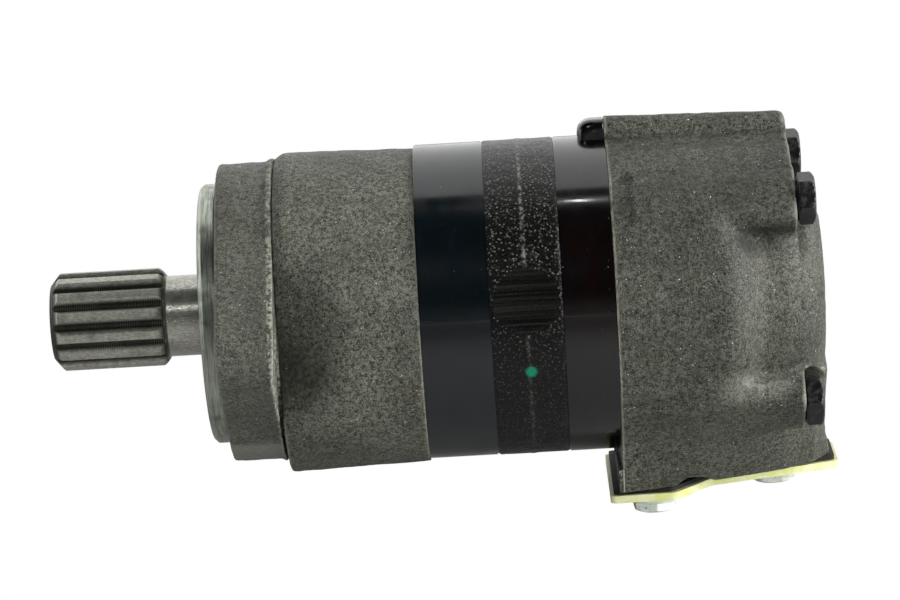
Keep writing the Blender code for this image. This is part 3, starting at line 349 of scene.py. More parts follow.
def bolt_holes(x, y, z, start, end):
    holes = [tube_hole(x, y, z, BOLT_HOLE, start, end, bolt) for bolt in BOLTS]
    return np.minimum.reduce(holes)


def screw_holes(x, y, z, start, end):
    holes = [tube_hole(x, y, z, SCREW_HOLE, start, end, screw) for screw in SCREWS]
    return np.minimum.reduce(holes)


def casting_skin(x, y, z, coarse, fine, coarse_size, fine_size):
    """Unevenness of a sand-cast skin: two sizes of lump, each of this height."""
    return coarse * lumps(x, y, z, coarse_size) + fine * lumps(x, y, z, fine_size)


def flange_outline(y, z):
    """Distance from the two-eared outline: a round middle and an ear to each side."""
    along, across = np.abs(y), np.abs(z)
    lean = (FLANGE_RADIUS - EAR_RADIUS) / EAR_CENTRE
    rise = math.sqrt(1.0 - lean**2)
    side = along * rise - across * lean
    near_middle = np.hypot(along, across) - FLANGE_RADIUS
    near_ear = np.hypot(along - EAR_CENTRE, across) - EAR_RADIUS
    flank = across * rise + along * lean - FLANGE_RADIUS
    beside_ear = np.where(side > rise * EAR_CENTRE, near_ear, flank)
    return np.where(side < 0.0, near_middle, beside_ear)


def flange_field(x, y, z):
    """Two-eared flange with its bead, slot, bores and holes."""
    outline = join(flange_outline(y, z), flange_bead(x, y, z), 1.6)
    outline = outline + casting_skin(x, y, z, 0.16, 0.10, 3.1, 1.7) + 0.2
    body = overlap(outline, MOUNT - x, 1.0)
    rear = x - FLANGE_REAR + 0.06 * lumps(x, y, z, 2.3) + 0.06
    body = overlap(body, rear, seam_rounding(z))
    body = without(body, flange_slot(x, y, z), 0.8)
    for place in (-EAR_HOLE_PLACE, EAR_HOLE_PLACE):
        hole = tube_hole(x, y, z, EAR_HOLE, MOUNT - 5, FLANGE_REAR + 5, (place, 0.0))
        body = without(body, hole)
    for bore in FLANGE_BORES:
        body = without(body, tube_hole(x, y, z, *bore))
    return without(body, screw_holes(x, y, z, MOUNT - 5, FLANGE_REAR + 5))


def seam_rounding(z):
    """Edge radius where flange and housing meet: almost none above, so that the bead closes it."""
    return 0.15 + 0.75 * np.clip((4.0 - z) / 20.0, 0.0, 1.0)


def flange_bead(x, y, z):
    """The uneven bead of metal along the flange's rear rim."""
    flat = np.zeros_like(x)
    middle = FLANGE_BEAD + 0.5 * lumps(flat, y, z, 4.2)
    thinning = 0.5 * np.clip((-6.0 - z) / 12.0, 0.0, 1.0)
    size = 1.25 + 0.35 * lumps(flat, y, z, 2.9) - thinning
    return np.hypot(x - middle, np.hypot(y, z) - 47.2) - size


def flange_slot(x, y, z):
    """The narrow slot left between the lower half of the flange and the bearing housing."""
    width = 1.1 * np.clip((2.0 - z) / 10.0, 0.0, 1.0)
    width = width + 0.25 * lumps(np.zeros_like(x), y, z, 3.6)
    ahead = FLANGE_REAR - width - x
    inside = 43.5 - np.hypot(y, z)
    return np.maximum(np.maximum(ahead, inside), z - 3.0)


def housing_field(x, y, z):
    """Bearing housing: a drafted drum, flat behind each ear, with the two bearing bores."""
    front, rear = HOUSING
    front_radius = 51.0
    radius = np.hypot(y, z + 0.9)
    draft = (STACK_RADIUS - front_radius) / (rear - front)
    drum = radius - (front_radius + (x - front) * draft) + 0.15
    corner = 48.7 + 3.0 * np.clip((-8.0 - z) / 16.0, 0.0, 1.0)
    drum = overlap(drum, (radius - corner - (x - front) * 0.75) * 0.8, 1.0)
    skin = casting_skin(x, y, z, 0.14, 0.08, 3.3, 1.8)
    flat_start, flat_reach, spread, length, cosine = 71.3, 41.6, 8.9, 22.7, 0.931
    flat = (np.abs(y) - (flat_reach + (x - flat_start) * spread / length)) * cosine
    body = overlap(drum + skin, flat + skin * 1.4, 2.2)
    body = overlap(body, front - x, seam_rounding(z))
    body = overlap(body, x - rear, 0.3)
    for bore in HOUSING_BORES:
        body = without(body, tube_hole(x, y, z, *bore))
    holes = bolt_holes(x, y, z, 97.5, rear + 5)
    body = without(body, np.maximum(holes, drum + LEAST_WALL))
    body = without(body, seal_groove(x, y, z, rear), 0.1)
    return without(body, screw_holes(x, y, z, front - 5, 85.3))


PORT_FACE = -59.8
LIP_FRONT = 173.6               # front and top of the port face's forward lip
LIP_TOP = -51.2
PORTS = ((187.0, 9.0, -28.5), (212.5, 2.5, -15.0))
COVER_SCREWS = ((187.8, -13.0), (227.4, 13.5))
DRAIN_X = 197.8


def rounded_drum(x, radius, size, end, rounding):
    """A drum of this size, rounded over at its rear end."""
    side = radius - (size - rounding)
    back = x - (end - rounding)
    outside = np.hypot(np.maximum(side, 0.0), np.maximum(back, 0.0))
    return outside + np.minimum(np.maximum(side, back), 0.0) - rounding


def rear_shoulder(x, radius, angle):
    """The drum, whose rear shoulder is scooped forward beside each bolt boss."""
    off_middle = np.clip((np.abs(angle - 1.0) - 12.0) / 34.0, 0.0, 1.0)
    end = 220.5 - 9.0 * off_middle * off_middle
    return rounded_drum(x, radius, STACK_RADIUS, end, 9.0) + valleys(x, angle)


def valleys(x, angle):
    """How far the drum's skin sinks beside the upper bolt bosses and the top rib."""
    depth = 0.0
    for middle, width, deep in ((56.0, 2.4, 1.2), (119.0, 2.4, 1.2), (76.5, 2.6, 0.7)):
        depth = depth + deep * np.exp(-((angle - middle) / width) ** 2)
    return depth * np.clip((x - 178.6) / 3.0, 0.0, 1.0)


def bolt_bosses(x, y, z, radius):
    """The four round bosses that the tie bolt heads bear on."""
    bosses = []
    for centre_y, centre_z in BOLTS:
        boss = np.hypot(y - centre_y, z - centre_z) - 10.0
        boss = overlap(boss, radius - 50.1, 2.0)
        boss = np.maximum(boss, 186.0 - x)
        bosses.append(overlap(boss, x - BOLT_FACE, 0.8))
    return np.minimum.reduce(bosses)


def top_web(x, y, z, radius, angle):
    """The drum's full height carried back between the two upper bosses."""
    web = overlap(radius - 49.7 + valleys(x, angle), x - BOLT_FACE + 0.5, 1.5)
    for limit, sign in ((BOLT_ANGLES[0], -1.0), (BOLT_ANGLES[1], 1.0)):
        turn = math.radians(limit)
        web = np.maximum(web, sign * (y * math.sin(turn) + z * math.cos(turn)))
    return web


def behind_bolt_heads(x, y, z):
    """What is cut away behind the bolt faces: above the neck, round each head and beside it."""
    cuts = [(np.maximum(BOLT_FACE - x, 23.5 - z), 1.5)]
    for bolt in BOLTS:
        cuts.append((tube_hole(x, y, z, 10.7, BOLT_FACE, REAR_END + 9, bolt), 0.7))
    for angle in (33.0, 140.5):
        scallop = tube_hole(x, y, z, 12.3, BOLT_FACE, REAR_END + 9, around(47.0, angle))
        cuts.append((scallop, 1.2))
    return cuts


def valve_field(x, y, z):
    """Valve housing casting with its bosses, ridge, rounded end, port block and bores."""
    radius = np.hypot(y, z)
    angle = np.degrees(np.arctan2(z, -y))
    neck = rounded_drum(x, radius, 40.0, REAR_END, 18.0)
    body = join(rear_shoulder(x, radius, angle), neck, 9.0)
    body = join(body, port_block(x, y, z), 5.0)
    body = join(body, bolt_bosses(x, y, z, radius), 4.0)
    body = join(body, top_web(x, y, z, radius, angle), 2.0)
    body = join(body, ridge(x, y, z), 2.2)
    body = body + casting_skin(x, y, z, 0.13, 0.07, 3.4, 1.8)
    front = np.minimum(VALVE_FRONT - x, np.maximum(LIP_FRONT - x, z - LIP_TOP))
    body = overlap(body, front, 0.5)
    body = overlap(body, PORT_FACE - z, 0.5)
    rear = np.minimum(x - REAR_END + 0.1, np.maximum(x - FOOT_REAR, z + 48.0))
    body = overlap(body, rear, 1.0)
    for cut, rounding in behind_bolt_heads(x, y, z):
        body = without(body, cut, rounding)
    holes = bolt_holes(x, y, z, VALVE_FRONT - 5, BOLT_FACE + 5)
    holes = np.maximum(holes, body + LEAST_WALL)
    return without(body, np.minimum(holes, valve_inside(x, y, z)))


def ridge(x, y, z):
    """The rounded rib along the top."""
    share = np.clip((x - 178.4) / (BOLT_FACE - 179.2), 0.0, 1.0)
    centre_z = 52.3 - 1.6 * share
    rib = np.hypot(y, z - centre_z) - 4.25
    return overlap(rib, x - BOLT_FACE + 0.6, 2.5)


def port_block(x, y, z):
    """From the drum down to the port face; its near side slants in towards the rear."""
    low_edge = np.interp(x, (178.2, 195.0, 205.5, 219.8, 229.6, 240.0, FOOT_REAR),
                         (-25.4, -21.3, -17.5, -12.5, -8.5, -1.0, 9.0))
    high_edge = np.interp(x, (178.2, 205.5, 219.8, 229.6, 240.0, 244.1),
                          (-43.0, -43.0, -39.5, -36.0, -27.0, -20.0))
    rise = np.clip((z - PORT_FACE) / 35.2, 0.0, 1.0)
    near = (low_edge + (high_edge - low_edge) * rise - y) * 0.82
    far = (y - 26.0 - 17.0 * rise) * 0.9
    block = np.maximum(near, overlap(far, z + 24.0, 7.0))
    foot = np.clip((-50.0 - z) / (-50.0 - PORT_FACE), 0.0, 1.0)
    rear = REAR_END - 0.2 + (FOOT_REAR - REAR_END) * foot
    block = overlap(block, (x - rear) * 0.97, 2.0)
    notch = (np.abs(x - 200.8) * 0.62 + z - PORT_FACE - 3.9) * 0.85
    notch = np.maximum(notch, y + 12.0)
    return join(without(block, notch, 0.8), port_lip(x, y, z), 0.8)


def port_lip(x, y, z):
    """The part of the port face that reaches forward, just below the valve plate."""
    lip = overlap(LIP_FRONT - x, -17.0 - y, 3.5)
    lip = overlap(lip, np.maximum(y - 25.5, x - 182.0), 2.0)
    return overlap(lip, z - LIP_TOP, 1.2)


def valve_inside(x, y, z):
    """The valve's stepped bore, the ports, the cover screws' threads and the drain hole."""
    hollows = [tube_hole(x, y, z, *bore) for bore in VALVE_BORES]
    hollows.append(seal_groove(x, y, z, VALVE_FRONT))
    for port_x, port_y, top in PORTS:
        hollows.append(np.maximum(np.hypot(x - port_x, y - port_y) - 7.0, z - top))
    for screw_x, screw_y in COVER_SCREWS:
        hollows.append(np.maximum(np.hypot(x - screw_x, y - screw_y) - 4.3, z + 43.2))
    for size, depth in ((9.0, 48.2), (5.0, 36.5)):
        hollows.append(np.maximum(np.hypot(x - DRAIN_X, z) - size, depth - y))
    return np.minimum.reduce(hollows)


# ---- Turned, hobbed and pressed pieces ----


def tooth_radii(steps, teeth, root, tip, half_root, half_tip):
    """Radius at each step round a spline with straight flanks."""
    root_turn = math.asin(half_root / root)
    tip_turn = math.asin(half_tip / tip)
    pitch = 2.0 * math.pi / teeth
    angles = np.arange(steps) * 2.0 * math.pi / steps
    off = np.abs((angles + pitch / 2.0) % pitch - pitch / 2.0)
    return np.interp(off, (tip_turn, root_turn), (tip, root))


TEETH = 14
SHAFT_STEPS = TEETH * 36
SPLINE_TURN = 8.2               # degrees from +Y towards +Z to the first tooth


def spline_end():
    """Rings of the splined end: chamfer, teeth, and the run-out into the neck."""
    tip, root, neck, chamfer = 15.6, 13.5, 12.85, 12.3
    spline = tooth_radii(SHAFT_STEPS, TEETH, root, tip, 2.5, 1.35)
    spline = np.roll(spline, round(SPLINE_TURN / 360.0 * SHAFT_STEPS))
    rings = [(0.0, 0.3), (0.0, 12.0), (0.25, chamfer)]
    for x in np.linspace(0.5, 3.2, 10):
        rings.append((x, np.minimum(spline, chamfer + (x - 0.25) * 1.22)))
    for x in np.linspace(4.0, 34.0, 12):
        rings.append((x, spline))
    for x in np.linspace(34.4, 37.0, 9):
        cone = tip - 2.75 * ((x - 34.4) / 2.6) ** 1.4
        rings.append((x, np.maximum(np.minimum(spline, cone), neck)))
    return rings + [(37.3, neck), (54.6, neck)]


def output_shaft():
    """Splined end, neck, journals and the drive spline inside, as one solid of revolution."""
    seal, front_seat, rear_seat, flare = 17.0, 18.0, 23.0, 26.0
    journals = [(55.1, 13.2), (57.4, seal), (70.2, seal), (70.9, front_seat), (96.6, front_seat),
                (96.6, rear_seat), (112.8, rear_seat), (112.8, flare), (115.5, flare),
                (115.8, flare - 0.3)]
    bore = tooth_radii(SHAFT_STEPS, 12, 13.35, 15.75, 2.5, 1.6)
    drive = [(115.8, bore + 0.3), (115.4, bore), (97.0, bore), (97.0, 13.35), (95.0, 13.35),
             (95.0, 0.3)]
    rings = spline_end() + journals + drive
    return polar("output_shaft_body", rings, SHAFT_STEPS, sharp=28.0)


def pilot_ring():
    """The turned pilot in front of the mounting flange, with the seal bore inside."""
    rim, bore, shaft_hole = PILOT_RADIUS, 22.0, 17.6
    rings = [(PILOT_FRONT, bore + 0.3), (PILOT_FRONT, 39.6), (PILOT_FRONT + 0.15, 40.05),
             (PILOT_FRONT + 1.1, 41.05), (PILOT_FRONT + 1.4, rim), (MOUNT - 0.9, rim),
             (MOUNT - 0.5, rim - 0.3), (MOUNT + 0.4, rim - 0.3), (MOUNT + 0.4, shaft_hole),
             (MOUNT - 1.2, shaft_hole), (MOUNT - 1.2, bore), (PILOT_FRONT + 0.3, bore),
             (PILOT_FRONT, bore + 0.3)]
    return polar("pilot_ring", rings, 192, sharp=25.0)


def star_loops():
    """The bore of the rotor ring: round, with a pocket for each roller."""
    pocket, circle_radius, bore = 6.0, 31.0, 30.5
    meet = math.acos((circle_radius**2 + pocket**2 - bore**2) / (2 * circle_radius * pocket))
    half = math.pi - meet
    outline = []
    for roller in range(9):
        turn = 2.0 * math.pi * roller / 9
        for i in range(17):
            angle = turn - half + 2.0 * half * i / 16
            outline.append((circle_radius * math.cos(turn) + pocket * math.cos(angle),
                            circle_radius * math.sin(turn) + pocket * math.sin(angle)))
        angle = turn + math.pi / 9
        outline.append((bore * math.cos(angle), bore * math.sin(angle)))
    return outline


def bolt_loops():
    return [circle(BOLT_HOLE, 24, bolt) for bolt in BOLTS]


def wear_plate():
    loops = [circle(STACK_RADIUS, 256), circle(16.0, 96), *bolt_loops()]
    return slab("wear_plate_body", loops, *WEAR, rim=0.35)


def valve_plate():
    loops = [circle(PLATE_RADIUS, 256), circle(14.0, 96), *bolt_loops()]
    loops += [circle(2.4, 16, around(26.5, 20.0 + 40.0 * i)) for i in range(9)]
    plate = slab("valve_plate_body", loops, *PLATE, rim=0.35)
    lug = field_solid("valve_plate_lug", lug_field, LUG_LOW, LUG_HIGH, 0.3)
    return plate, lug


LUG_LOW = (169.6, -4.6, 46.0)
LUG_HIGH = (178.0, 4.6, 56.0)


def lug_field(x, y, z):
    """A short block with a domed front corner, standing on the plate's rim."""
    front_top = overlap(LUG_LOW[0] - x, z - LUG_HIGH[2], 5.0)
    block = overlap(front_top, np.abs(y) - 4.5, 3.2)
    return overlap(block, np.maximum(x - LUG_HIGH[0], LUG_LOW[2] - z), 0.3)


RING_GROUND_ANGLE = 11.0        # degrees up from the camera side
PAINT_ANGLE = -15.0
HOB_PITCH = 0.72                # spacing of the hob's marks between the spline's teeth


def following(ring):
    return ring[1:] + ring[:1]


def quads(bm, *sides):
    """A face through the first corner of each list, another through the second, and so on."""
    for corners in zip(*sides):
        bm.faces.new(corners)


def ring_radius(x, y, z):
    """Radius of the ring's rough rim: parting line, rounded edges and the ground flat."""
    start, end = RING
    middle = (start + end) / 2.0
    angle = math.degrees(math.atan2(z, -y))
    rough = 0.10 * float(lumps(x, y, z, 2.6)) + 0.06 * float(lumps(x, y, z, 1.4))
    wander = 0.4 * math.sin(angle * 0.09)
    parting = 0.10 * math.exp(-((x - middle - wander) / 0.7) ** 2)
    edge = min(x - start, end - x)
    radius = PLATE_RADIUS + rough + parting - 0.35 * max(0.0, 1.0 - edge / 0.5) ** 2
    off = math.radians(angle - RING_GROUND_ANGLE)
    if abs(off) < 0.6:
        radius = min(radius, (49.15 + (x - middle) ** 2 / 118.0) / math.cos(off))
    return radius


def ring_rims(bm, steps, rows):
    """The rim's loops of corners from the front face to the rear one, joined by faces."""
    rims = []
    for x in np.linspace(*RING, rows + 1):
        rim = []
        for y, z in circle(PLATE_RADIUS, steps):
            radius = ring_radius(x, y, z)
            turn = math.atan2(z, y)
            corner = Vector((x, radius * math.cos(turn), radius * math.sin(turn)))
            rim.append(bm.verts.new(corner * MM))
        rims.append(rim)
    for front, rear in zip(rims, rims[1:]):
        quads(bm, front, following(front), following(rear), rear)
    return rims


def rotor_ring():
    """Cast ring with a parting line round its middle and a patch ground away on the near side."""
    bm = bmesh.new()
    rims = ring_rims(bm, 288, 30)
    faces = [[rims[0]], [rims[-1]]]
    for loop in [star_loops(), *bolt_loops()]:
        front, rear = [[bm.verts.new(Vector((x, y, z)) * MM) for y, z in loop] for x in RING]
        quads(bm, front, rear, following(rear), following(front))
        faces[0].append(front)
        faces[1].append(rear)
    for rings in faces:
        edges = []
        for ring in rings:
            for one, two in zip(ring, following(ring)):
                edges.append(bm.edges.get((one, two)) or bm.edges.new((one, two)))
        bmesh.ops.triangle_fill(bm, use_beauty=True, edges=edges)
    face_outward(bm)
    mesh = bpy.data.meshes.new("rotor_ring_body")
    bm.to_mesh(mesh)
    bm.free()
    return finish_mesh("rotor_ring_body", mesh, 38.0)


def hexagon_radii(steps, flats, turn):
    """Radius at each step round a hexagon, turn in degrees from +Y to a corner."""
    angles = np.degrees(np.arange(steps) * 2.0 * math.pi / steps)
    off = np.radians((angles - turn) % 60.0 - 30.0)
    return flats / 2.0 / np.cos(off)


def tie_bolt(number, place):
    """Hex head with a chamfered crown and a washer face, shank and chamfered tip."""
    steps, tip, shank, washer, crown = 144, 99.5, 4.2, 7.75, 8.27
    corner = 10.0 if place[1] > 0 else 50.0
    hexagon = hexagon_radii(steps, 14.3, corner)
    seat = BOLT_FACE + 0.05
    rings = [(tip, 0.3), (tip, shank - 0.8), (tip + 0.9, shank), (seat, shank), (seat, 6.8),
             (seat + 0.35, 6.8), (seat + 0.36, np.minimum(hexagon, washer))]
    for share in (0.35, 0.7, 1.0):
        radius = np.minimum(hexagon, washer + 0.5 * share)
        rings.append((seat + 0.36 + 0.35 * share, radius))
    for share in (0.0, 0.3, 0.6, 0.85, 1.0):
        radius = np.minimum(hexagon, crown - 1.45 * share**1.3)
        rings.append((seat + 4.35 + 1.05 * share, radius))
    rings += [(seat + 5.5, 6.6), (seat + 5.5, 3.6), (seat + 5.35, 3.4), (seat + 5.35, 0.3)]
    return polar(f"tie_bolt_{number}_body", rings, steps, place, sharp=24.0)


def flange_screw(number, place):
    """Socket head screw, sunk in the pilot's front face."""
    steps, shank, head, front = 72, 2.5, 4.25, 50.6
    socket = hexagon_radii(steps, 4.2, 0.0)
    rings = [(82.4, 0.2), (82.4, shank - 0.5), (81.8, shank), (55.6, shank), (55.6, head),
             (front + 0.3, head), (front, head - 0.3), (front, socket + 0.15),
             (front + 0.2, socket), (front + 3.0, socket), (front + 3.0, 0.2)]
    return polar(f"flange_screw_{number}_body", rings, steps, place)


def cover_screw(number, place):
    """Flanged hex screw that holds the shipping cover. Its rings run downwards."""
    steps, shank, flange, head = 144, 4.0, 8.1, 63.8
    x, y = place
    hexagon = hexagon_radii(steps, 12.7, 15.0 + 20.0 * number)
    rings = [(44.8, 0.3), (44.8, 3.0), (45.7, shank), (head, shank), (head, flange - 0.2),
             (head + 0.15, flange), (head + 0.9, flange), (head + 1.3, 7.8), (head + 1.75, 7.45)]
    for share in (0.0, 0.3, 0.65, 1.0):
        rings.append((head + 1.8 + 2.2 * share, np.minimum(hexagon, 7.4 - 0.3 * share)))
    for share in (0.25, 0.5, 0.75, 1.0):
        rings.append((head + 4.0 + 0.95 * share, np.minimum(hexagon, 7.1 - 1.6 * share**1.5)))
    rings += [(head + 4.98, 4.6), (head + 4.7, 4.2), (head + 4.7, 0.3)]
    down = Matrix(((0, 1, 0, x * MM), (0, 0, 1, y * MM), (-1, 0, 0, 0), (0, 0, 0, 1)))
    return polar(f"cover_screw_{number}_body", rings, steps, matrix=down, sharp=26.0)


def drain_plug():
    steps, shank, head, face = 96, 4.6, 7.4, 53.7
    socket = hexagon_radii(steps, 5.6, 0.0)
    rings = [(37.5, 0.3), (37.5, 4.0), (38.3, shank), (50.0, shank), (50.0, head), (52.8, head),
             (53.5, 6.8), (face, 6.2), (face, socket + 0.2), (face - 0.3, socket),
             (49.7, socket), (49.7, 0.3)]
    side = Matrix(((0, -1, 0, DRAIN_X * MM), (1, 0, 0, 0), (0, 0, 1, 0), (0, 0, 0, 1)))
    return polar("drain_plug_body", rings, steps, matrix=side)


def softened(outline, radius):
    """The outline with its corners rounded, each corner's radius kept to what its sides allow."""
    steps = 5
    made = []
    count = len(outline)
    for i, corner in enumerate(outline):
        here = Vector(corner)
        before = Vector(outline[i - 1]) - here
        after = Vector(outline[(i + 1) % count]) - here
        reach = min(radius, before.length * 0.45, after.length * 0.45)
        start = here + before.normalized() * reach
        end = here + after.normalized() * reach
        for step in range(steps + 1):
            t = step / steps
            point = start * (1 - t) ** 2 + here * 2 * t * (1 - t) + end * t**2
            made.append((point.x, point.y))
    return made


def cover_outline(inset):
    front, rear = 173.8 + inset, 248.3 - inset
    return [(front, -23.3 + inset), (194.6 - inset, -23.0 + inset), (206.3 - inset, -9.0 + inset),
            (rear, 4.2 + inset), (rear, 28.0 - inset), (front, 28.0 - inset)]


def port_cover():
    """The shipping cover and the gasket above it, each with its two screw holes."""
    holes = [circle(4.3, 32, place) for place in COVER_SCREWS]
    sheet = [softened(cover_outline(0.0), 2.0), *holes]
    packing = [softened(cover_outline(1.1), 1.6), *holes]
    cover = slab("port_cover_sheet", sheet, -63.7, -61.3, 0.35, along_z)
    gasket = slab("port_gasket_sheet", packing, -61.2, -59.9, 0.2, along_z)
    return cover, gasket


# ---- Materials ----


def srgb(red, green, blue):
    """Linear colour of an 8-bit display colour."""
    def linear(value):
        value /= 255.0
        return value / 12.92 if value <= 0.04045 else ((value + 0.055) / 1.055) ** 2.4
    return linear(red), linear(green), linear(blue), 1.0


def smooth_range(nodes, links, value, low, high, out_low, out_high):
    """Takes value smoothly from one range to another. value is a socket."""
    node = nodes.new("ShaderNodeMapRange")
    node.interpolation_type = "SMOOTHSTEP"
    links.new(value, node.inputs["Value"])
    for socket, number in zip(node.inputs[1:5], (low, high, out_low, out_high)):
        socket.default_value = number
    return node.outputs["Result"]


def scaled(colour, share):
    """A colour made this much darker or lighter."""
    return tuple(part * share for part in colour[:3]) + (1.0,)


class Finish:
    """One node material. Each method adds a node and returns the socket that it gives."""

    def __init__(self, name, **values):
        self.material = bpy.data.materials.new(name)
        self.material.use_nodes = True
        self.nodes = self.material.node_tree.nodes
        self.links = self.material.node_tree.links
        self.shader = self.nodes["Principled BSDF"]
        self.place = self.nodes.new("ShaderNodeTexCoord").outputs["Object"]
        for socket, value in values.items():
            self.put(self.shader.inputs[socket.replace("_", " ")], value)

    def done(self, colour, roughness, normal):
        """Drives the shader with these and gives the material."""
        self.put(self.shader.inputs["Base Color"], colour)
        self.put(self.shader.inputs["Roughness"], roughness)
        self.put(self.shader.inputs["Normal"], normal)
        return self.material

    def put(self, socket, value):
        if isinstance(value, bpy.types.NodeSocket):
            self.links.new(value, socket)
        else:
            socket.default_value = value

    def stretched(self, x, y, z):
        node = self.nodes.new("ShaderNodeMapping")
        node.inputs["Scale"].default_value = (x, y, z)
        self.links.new(self.place, node.inputs["Vector"])
        return node.outputs["Vector"]

    def noise(self, size, detail=3.0, rough=0.55, where=None):
        """Noise with features of about this many millimetres."""
        node = self.nodes.new("ShaderNodeTexNoise")
        node.inputs["Scale"].default_value = 1.0 / (size * MM)
        node.inputs["Detail"].default_value = detail
        node.inputs["Roughness"].default_value = rough
        self.links.new(where or self.place, node.inputs["Vector"])
        return node.outputs["Fac"]

    def cells(self, size):
        """Distance from the nearest of many points scattered about this many millimetres apart."""
        node = self.nodes.new("ShaderNodeTexVoronoi")
        node.inputs["Scale"].default_value = 1.0 / (size * MM)
        self.links.new(self.place, node.inputs["Vector"])
        return node.outputs["Distance"]

    def pointiness(self):
        """Above 0.5 on edges that stand out, below in hollows."""
        return self.nodes.new("ShaderNodeNewGeometry").outputs["Pointiness"]

    def off_axis(self):
        """Distance from the shaft axis, in metres."""
        y, z = self.axis("Y"), self.axis("Z")
        return self.math("SQRT", self.math("ADD", self.times(y, y), self.times(z, z)))

    def axis(self, name):
        node = self.nodes.new("ShaderNodeSeparateXYZ")
        self.links.new(self.place, node.inputs["Vector"])
        return node.outputs[name]

    def math(self, operation, a, b=0.0):
        node = self.nodes.new("ShaderNodeMath")
        node.operation = operation
        self.put(node.inputs[0], a)
        self.put(node.inputs[1], b)
        return node.outputs["Value"]

    def times(self, a, b):
        return self.math("MULTIPLY", a, b)

    def far_from(self, value, middle):
        return self.math("ABSOLUTE", self.math("SUBTRACT", value, middle))

    def between(self, value, low, high, out_low=0.0, out_high=1.0):
        return smooth_range(self.nodes, self.links, value, low, high, out_low, out_high)

    def mix(self, share, a, b):
        node = self.nodes.new("ShaderNodeMix")
        node.data_type = "RGBA"
        colours = [socket for socket in node.inputs if socket.type == "RGBA"]
        for socket, value in zip([node.inputs["Factor"], *colours], (share, a, b)):
            self.put(socket, value)
        return [socket for socket in node.outputs if socket.type == "RGBA"][0]

    def bump(self, height, distance, strength=1.0, under=None):
        """Relief of this many millimetres, on top of the relief under it."""
        node = self.nodes.new("ShaderNodeBump")
        node.inputs["Distance"].default_value = distance * MM
        self.put(node.inputs["Strength"], strength)
        self.links.new(height, node.inputs["Height"])
        if under:
            self.links.new(under, node.inputs["Normal"])
        return node.outputs["Normal"]

    def dot(self, centre, radius, soft):
        """1 within this many millimetres of a point, 0 outside, across a soft edge."""
        node = self.nodes.new("ShaderNodeVectorMath")
        node.operation = "DISTANCE"
        self.links.new(self.place, node.inputs[0])
        node.inputs[1].default_value = tuple(v * MM for v in centre)
        inner, outer = (radius - soft) * MM, (radius + soft) * MM
        return self.between(node.outputs["Value"], inner, outer, 1.0, 0.0)


def cast_iron(name, tone=1.0, machined=(), painted_light=(), smooth_below=None, bead_highlight=False):
    """Sand-cast iron. machined lists (x low, x high) bands where the skin is cut away to bright
    metal. The argument after it lists (centre, radius, strength, colour) balls of painted shade
    and painted highlight. Below the height smooth_below the skin is smoothed and painted lighter,
    partly the smoothed metal and partly a painted reflection of the floor, and the last argument
    gives the flange's bead a painted highlight."""
    finish = Finish(name, Metallic=0.0, Specular_IOR_Level=0.30)
    grain = finish.noise(0.50, 3.0, 0.7)
    coarse = finish.noise(1.3, 3.0, 0.65)
    colour = iron_skin(finish, tone, grain, coarse)
    for low, high in machined:
        x = finish.axis("X")
        band = finish.times(finish.math("GREATER_THAN", x, low * MM),
                            finish.math("LESS_THAN", x, high * MM))
        colour = finish.mix(band, colour, srgb(150, 150, 136))
    # Painted highlight: the bead along the flange's rear rim is painted lighter, as where it
    # catches the light.
    if bead_highlight:
        off = finish.far_from(finish.axis("X"), FLANGE_BEAD * MM)
        bead = finish.between(off, 0.4 * MM, 1.2 * MM, 0.55, 0.0)
        bead = finish.times(bead, finish.between(finish.noise(1.3, 3.0), 0.44, 0.58))
        colour = finish.mix(bead, colour, srgb(176, 176, 160))
    # Painted shade and painted highlight: each listed ball blends its dark or light colour into the
    # skin.
    for centre, radius, strength, tint in painted_light:
        share = finish.times(finish.dot(centre, radius, radius * 0.75), strength)
        share = finish.times(share, finish.between(grain, 0.36, 0.62, 0.45, 1.0))
        colour = finish.mix(share, colour, tint)
    relief = 1.0
    if smooth_below is not None:
        low, high = (smooth_below - 1.5) * MM, (smooth_below + 1.5) * MM
        relief = finish.between(finish.axis("Z"), low, high, 0.2, 1.0)
        # Below that height the colour is painted lighter: partly the smoothed metal, partly a
        # painted reflection of the floor.
        dressed_and_floor_sheen = finish.math("SUBTRACT", 1.1, relief)
        colour = finish.mix(finish.times(dressed_and_floor_sheen, 0.7), colour, srgb(124, 126, 118))
    fine = finish.bump(grain, 0.31, relief)
    roughness = finish.between(grain, 0.3, 0.7, 0.58, 0.36)
    return finish.done(colour, roughness, finish.bump(coarse, 0.34, 0.7, fine))


def iron_skin(finish, tone, grain, coarse):
    """Grains of dark and light with a dull olive cast. Edges that stand out get a painted
    highlight, hollows a painted shade, and a few painted glints are scattered over it."""
    dark = scaled(srgb(22, 23, 19), tone)
    light = scaled(srgb(132, 134, 120), tone)
    warm = scaled(srgb(86, 80, 62), tone)
    patches = finish.noise(9.0, 4.0, 0.6)
    broad = finish.noise(30.0, 2.0, 0.5)
    mixed = finish.math("ADD", finish.times(grain, 0.6), finish.times(coarse, 0.4))
    colour = finish.mix(finish.between(mixed, 0.37, 0.65), dark, light)
    colour = finish.mix(finish.between(patches, 0.48, 0.75, 0.0, 0.35), colour, warm)
    colour = finish.mix(finish.between(broad, 0.38, 0.70, 0.0, 0.35), colour, dark)
    # Painted highlight on edges that stand out and painted shade in hollows, both taken from the
    # mesh's pointiness.
    edge_highlight = finish.between(finish.pointiness(), 0.52, 0.57, 0.0, 0.5)
    colour = finish.mix(edge_highlight, colour, srgb(168, 168, 154))
    hollow_shade = finish.between(finish.pointiness(), 0.485, 0.44, 0.0, 0.7)
    colour = finish.mix(hollow_shade, colour, srgb(20, 20, 16))
    # Painted glints: small bright specks scattered over the skin.
    glint_specks = finish.between(finish.noise(0.7, 2.0, 0.5), 0.725, 0.745)
    return finish.mix(glint_specks, colour, srgb(205, 206, 196))


